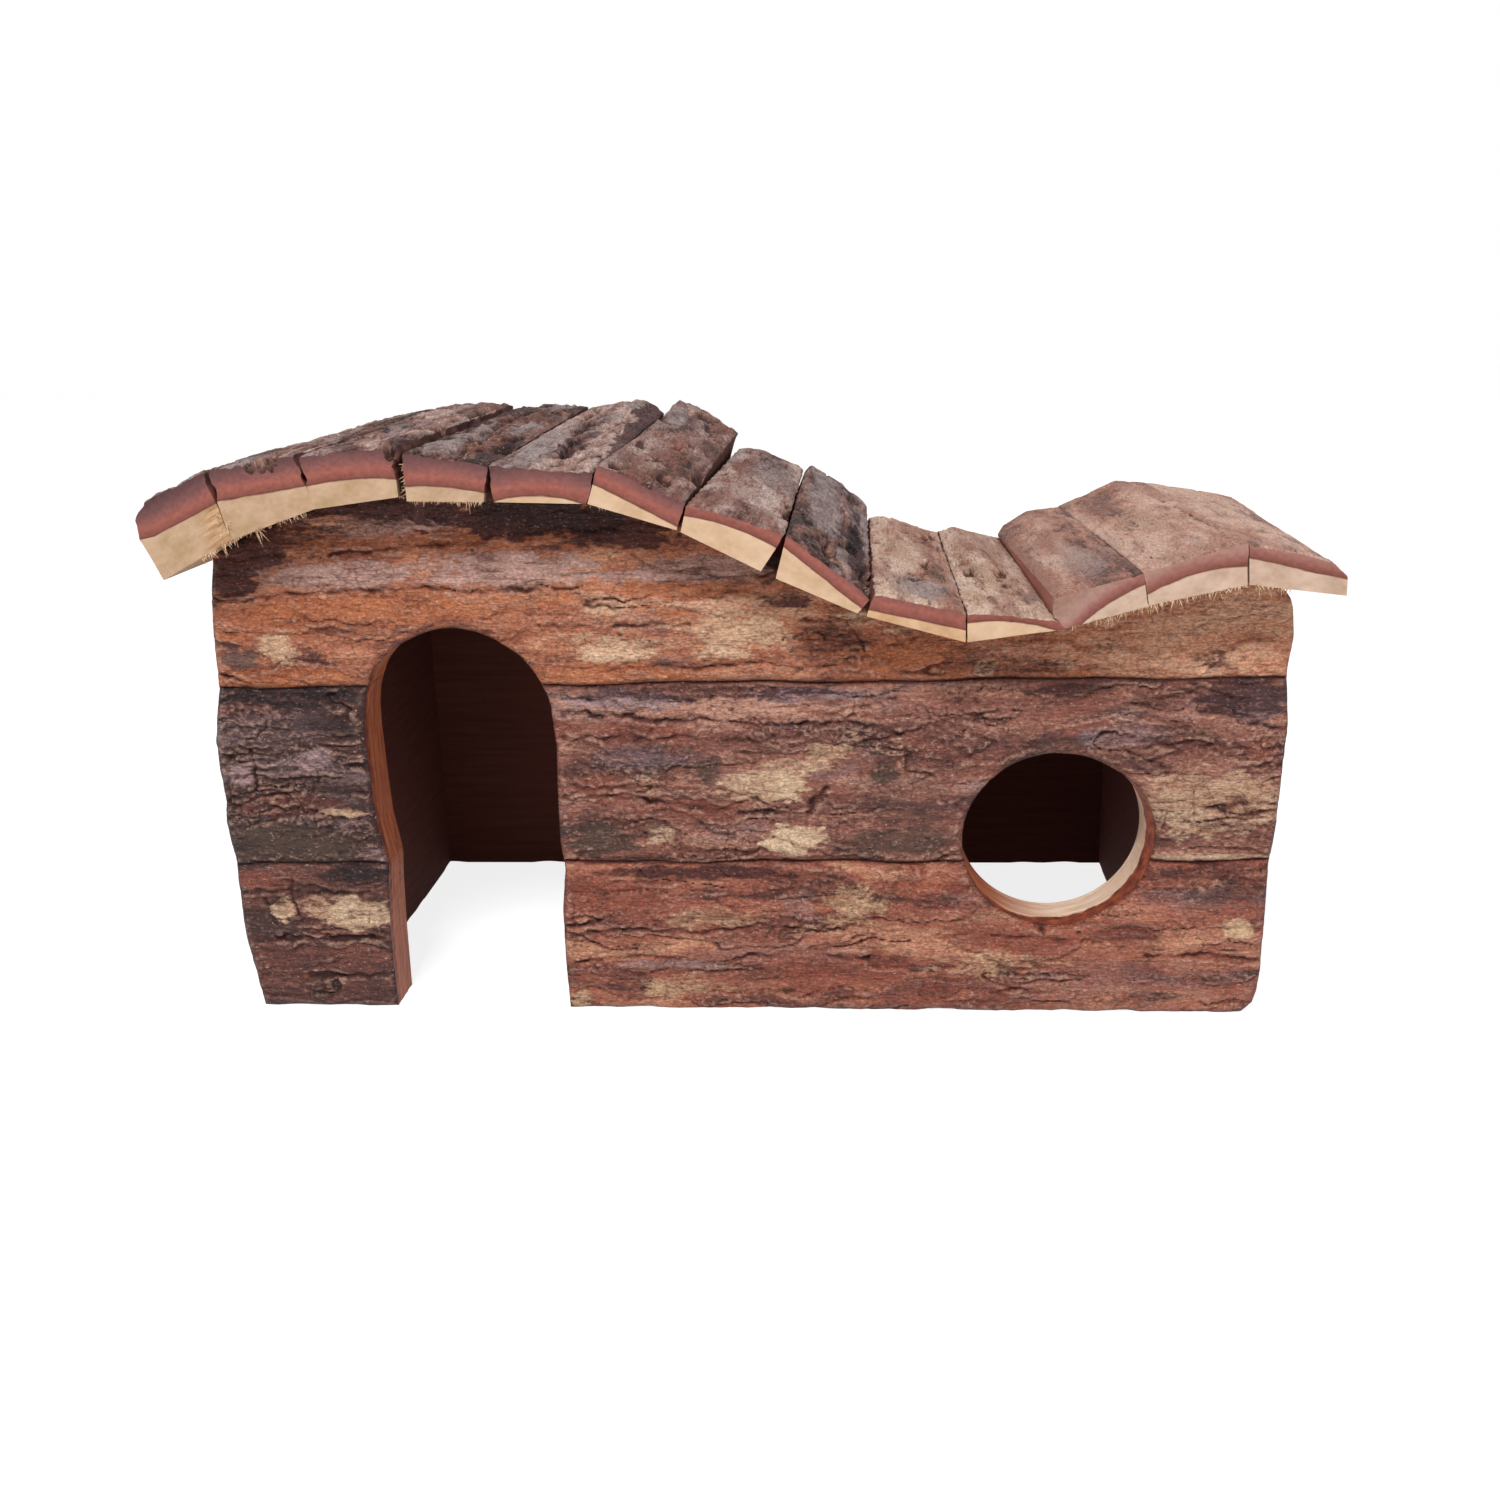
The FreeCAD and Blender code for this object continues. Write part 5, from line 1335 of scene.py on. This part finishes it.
def torn_fringe(name):
    """Geometry Nodes: thin splinters along edges, each as long and as bent as its row says."""
    tree = bpy.data.node_groups.new(name, "GeometryNodeTree")
    sockets = tree.interface
    sockets.new_socket("Geometry", in_out="INPUT", socket_type="NodeSocketGeometry")
    for label, kind in (("Spacing", "NodeSocketFloat"), ("Thickness", "NodeSocketFloat"),
                        ("Untidiness", "NodeSocketFloat"), ("Seed", "NodeSocketInt"),
                        ("Fibre Material", "NodeSocketMaterial")):
        sockets.new_socket(label, in_out="INPUT", socket_type=kind)
    sockets.new_socket("Geometry", in_out="OUTPUT", socket_type="NodeSocketGeometry")
    given = add(tree, "NodeGroupInput").outputs
    seeds = []
    for step in (1.0, 2.0, 3.0):
        seed = add(tree, "ShaderNodeMath", {"operation": "ADD"}, _0=given["Seed"], _1=step)
        seeds.append(seed.outputs[0])
    rows = add(tree, "GeometryNodeMeshToCurve", Mesh=given["Geometry"])
    spots = add(tree, "GeometryNodeResampleCurve", {"mode": "LENGTH"}, Curve=rows.outputs[0],
                Length=given["Spacing"])
    kept = add(tree, "GeometryNodeInputNamedAttribute", {"data_type": "FLOAT"}, Name="kept")
    chosen = add(tree, "FunctionNodeRandomValue", {"data_type": "BOOLEAN"}, Probability=kept.outputs[0],
                 Seed=seeds[0])
    lean = add(tree, "GeometryNodeInputNamedAttribute", {"data_type": "FLOAT_VECTOR"}, Name="lean")
    low, high = [add(tree, "ShaderNodeVectorMath", {"operation": "SCALE"}, _0=corner,
                     Scale=given["Untidiness"]).outputs[0] for corner in ((-1, -1, -1), (1, 1, 1))]
    stray = add(tree, "FunctionNodeRandomValue", {"data_type": "FLOAT_VECTOR"}, Min=low, Max=high,
                Seed=seeds[1])
    aim = add(tree, "ShaderNodeVectorMath", {"operation": "ADD"}, _0=lean.outputs[0], _1=stray.outputs[0])
    turned = add(tree, "FunctionNodeAlignRotationToVector", {"axis": "Z"}, Vector=aim.outputs[0])
    reach = add(tree, "GeometryNodeInputNamedAttribute", {"data_type": "FLOAT"}, Name="reach")
    share = add(tree, "FunctionNodeRandomValue", {"data_type": "FLOAT"}, _2=0.35, _3=1.5, Seed=seeds[2])
    clump = add(tree, "ShaderNodeTexNoise", Scale=480.0, Detail=2.0)
    tuft = add(tree, "ShaderNodeMapRange", _0=clump.outputs[0], _1=0.38, _2=0.62, _3=0.55, _4=1.6)
    grown = add(tree, "ShaderNodeMath", {"operation": "MULTIPLY"}, _0=share.outputs[1],
                _1=tuft.outputs[0])
    length = add(tree, "ShaderNodeMath", {"operation": "MULTIPLY"}, _0=reach.outputs[0],
                 _1=grown.outputs[0])
    size = add(tree, "ShaderNodeCombineXYZ", X=given["Thickness"], Y=given["Thickness"],
               Z=length.outputs[0])
    splinter = add(tree, "GeometryNodeMeshCone", Vertices=4, Radius_Top=0.15, Radius_Bottom=1.0,
                   Depth=1.0)
    fringe = add(tree, "GeometryNodeInstanceOnPoints", Points=spots.outputs[0],
                 Selection=chosen.outputs[3], Instance=splinter.outputs[0], Rotation=turned.outputs[0],
                 Scale=size.outputs[0])
    real = add(tree, "GeometryNodeRealizeInstances", Geometry=fringe.outputs[0])
    coloured = add(tree, "GeometryNodeSetMaterial", Geometry=real.outputs[0],
                   Material=given["Fibre Material"])
    add(tree, "NodeGroupOutput", Geometry=coloured.outputs[0])
    return tree


torn_pine, tree = new_material("torn_pine_fibre")
place = add(tree, "ShaderNodeTexCoord")
# Raw pine splinters, light and matt, with 1 mm specks of stain.
fibre = add(tree, "ShaderNodeTexNoise", Vector=place.outputs["Object"], Scale=900.0, Detail=2.0)
fibre_ramp = add(tree, "ShaderNodeValToRGB", _0=fibre.outputs[0])
set_ramp(fibre_ramp, ((0.35, "#8f6a4c"), (0.5, "#c9a280"), (0.65, "#e2c5a4")))
fibre_colour = add(tree, "ShaderNodeMix", LAID_OVER,
                   _0=add(tree, "ShaderNodeAttribute", {"attribute_name": "stain"}).outputs["Fac"],
                   _6=fibre_ramp.outputs[0], _7=srgb("#4b2d20")).outputs[2]
shader = add(tree, "ShaderNodeBsdfPrincipled", Base_Color=fibre_colour, Roughness=0.7)
add(tree, "ShaderNodeOutputMaterial", Surface=shader.outputs[0])

row_points, row_edges, row_lean = [], [], []
row_values = {"reach": [], "kept": [], "stain": []}
for points, reach, kept, lean, stain in FIBRE_ROWS:
    first = len(row_points)
    row_points += [(x * MM, (ROOF_FRONT_Y + 0.45) * MM, (z + 0.15) * MM) for x, z in points]
    row_edges += [(first + k, first + k + 1) for k in range(len(points) - 1)]
    row_lean += lean * len(points)
    for key, value in (("reach", reach * MM), ("kept", kept), ("stain", stain)):
        row_values[key] += [value] * len(points)
rows = bpy.data.meshes.new("fibre_rows")
rows.from_pydata(row_points, row_edges, [])
for key, data in row_values.items():
    rows.attributes.new(key, "FLOAT", "POINT").data.foreach_set("value", data)
rows.attributes.new("lean", "FLOAT_VECTOR", "POINT").data.foreach_set("vector", row_lean)
carrier = bpy.data.objects.new("fibre_rows", rows)
bpy.context.scene.collection.objects.link(carrier)
modifier = carrier.modifiers.new("fringe", "NODES")
modifier.node_group = torn_fringe("torn_fringe")
sockets = {item.name: item.identifier for item in modifier.node_group.interface.items_tree
           if item.item_type == "SOCKET" and item.in_out == "INPUT"}
for label, value in (("Spacing", FIBRE_SPACING * MM), ("Thickness", FIBRE_THICKNESS * MM),
                     ("Untidiness", FIBRE_UNTIDINESS), ("Seed", FIBRE_SEED),
                     ("Fibre Material", torn_pine)):
    modifier[sockets[label]] = value
evaluated = carrier.evaluated_get(bpy.context.evaluated_depsgraph_get())
fringe_mesh = bpy.data.meshes.new_from_object(evaluated)
carrier.modifiers.remove(modifier)
bpy.data.objects.remove(carrier)
torn_fibres = bpy.data.objects.new("torn_fibres", fringe_mesh)
bpy.context.scene.collection.objects.link(torn_fibres)
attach(torn_fibres, "root")

# ---- Floor, light and camera -----------------------------------------------------------------
# A plain pale floor that keeps the house's soft shadow, one large soft lamp high on the left in
# front, a weak one on the right, and an even pale room round them.

FLOOR_SIZE = 6.0
LAMP_TARGET = (0, 0, 0.06)


def seen_part(tree):
    """1 where the eye sees the surface itself, also in a mirror or through glass; 0 for its light."""
    paths = add(tree, "ShaderNodeLightPath").outputs
    seen = paths["Is Camera Ray"]
    for other in ("Is Glossy Ray", "Is Transmission Ray"):
        seen = add(tree, "ShaderNodeMath", {"operation": "MAXIMUM"}, _0=seen, _1=paths[other]).outputs[0]
    return seen


floor_material, tree = new_material("pale_floor")
shaded = add(tree, "ShaderNodeBsdfDiffuse", Color=srgb("#e8e6e4"))
faint = add(tree, "ShaderNodeBsdfDiffuse", Color=srgb("#a0a0a0"))
glow = add(tree, "ShaderNodeEmission", Color=(1, 1, 1, 1), Strength=0.84)
lit = add(tree, "ShaderNodeAddShader", _0=faint.outputs[0], _1=glow.outputs[0])
floor_look = add(tree, "ShaderNodeMixShader", _0=seen_part(tree), _1=shaded.outputs[0], _2=lit.outputs[0])
add(tree, "ShaderNodeOutputMaterial", Surface=floor_look.outputs[0])
floor_mesh = bpy.data.meshes.new("floor")
half = FLOOR_SIZE / 2
floor_mesh.from_pydata([(-half, -half, 0), (half, -half, 0), (half, half, 0), (-half, half, 0)], [],
                       [(0, 1, 2, 3)])
floor_mesh.materials.append(floor_material)
floor = bpy.data.objects.new("floor", floor_mesh)
bpy.context.scene.collection.objects.link(floor)

world = bpy.data.worlds.new("pale_room")
bpy.context.scene.world = world
world.use_nodes = True
tree = world.node_tree
tree.nodes.clear()
strength = add(tree, "ShaderNodeMapRange", _0=seen_part(tree), _1=0.0, _2=1.0, _3=0.42, _4=1.0)
room = add(tree, "ShaderNodeBackground", Color=(1, 1, 1, 1), Strength=strength.outputs[0])
add(tree, "ShaderNodeOutputWorld", Surface=room.outputs[0])


def soft_lamp(name, place, size, power):
    """A square area lamp that faces the house, in metres and watts."""
    light = bpy.data.lights.new(name, "AREA")
    light.size = size
    light.energy = power
    lamp = bpy.data.objects.new(name, light)
    bpy.context.scene.collection.objects.link(lamp)
    lamp.location = place
    lamp.rotation_euler = (Vector(LAMP_TARGET) - Vector(place)).to_track_quat("-Z", "Y").to_euler()


soft_lamp("lamp_left_front", (-0.15, -0.8, 1.1), 0.35, 14.5)
soft_lamp("lamp_right", (1.0, -0.5, 0.7), 0.7, 2.5)

CAMERA_YAW, CAMERA_PITCH, CAMERA_ROLL = -0.075, 0.291, -0.026
CAMERA_PLACE = (27.55, -382.16, 165.67)
FOCAL_PIXELS, FRAME_PIXELS, SENSOR_WIDTH = 1507.08, 1500, 36
look = Vector((math.sin(CAMERA_YAW) * math.cos(CAMERA_PITCH),
               math.cos(CAMERA_YAW) * math.cos(CAMERA_PITCH), -math.sin(CAMERA_PITCH)))
level_right = Vector((math.cos(CAMERA_YAW), -math.sin(CAMERA_YAW), 0))
level_up = level_right.cross(look)
right = math.cos(CAMERA_ROLL) * level_right + math.sin(CAMERA_ROLL) * level_up
up = math.cos(CAMERA_ROLL) * level_up - math.sin(CAMERA_ROLL) * level_right
camera_data = bpy.data.cameras.new("camera")
camera_data.sensor_width = SENSOR_WIDTH
camera_data.lens = SENSOR_WIDTH * FOCAL_PIXELS / FRAME_PIXELS
camera_data.clip_start = 0.01
camera_data.clip_end = 20
camera = bpy.data.objects.new("camera", camera_data)
bpy.context.scene.collection.objects.link(camera)
stand = Matrix((right, up, -look)).transposed().to_4x4()
stand.translation = Vector(CAMERA_PLACE) * MM
camera.matrix_world = stand
bpy.context.scene.camera = camera
bpy.context.scene.view_settings.view_transform = "Standard"
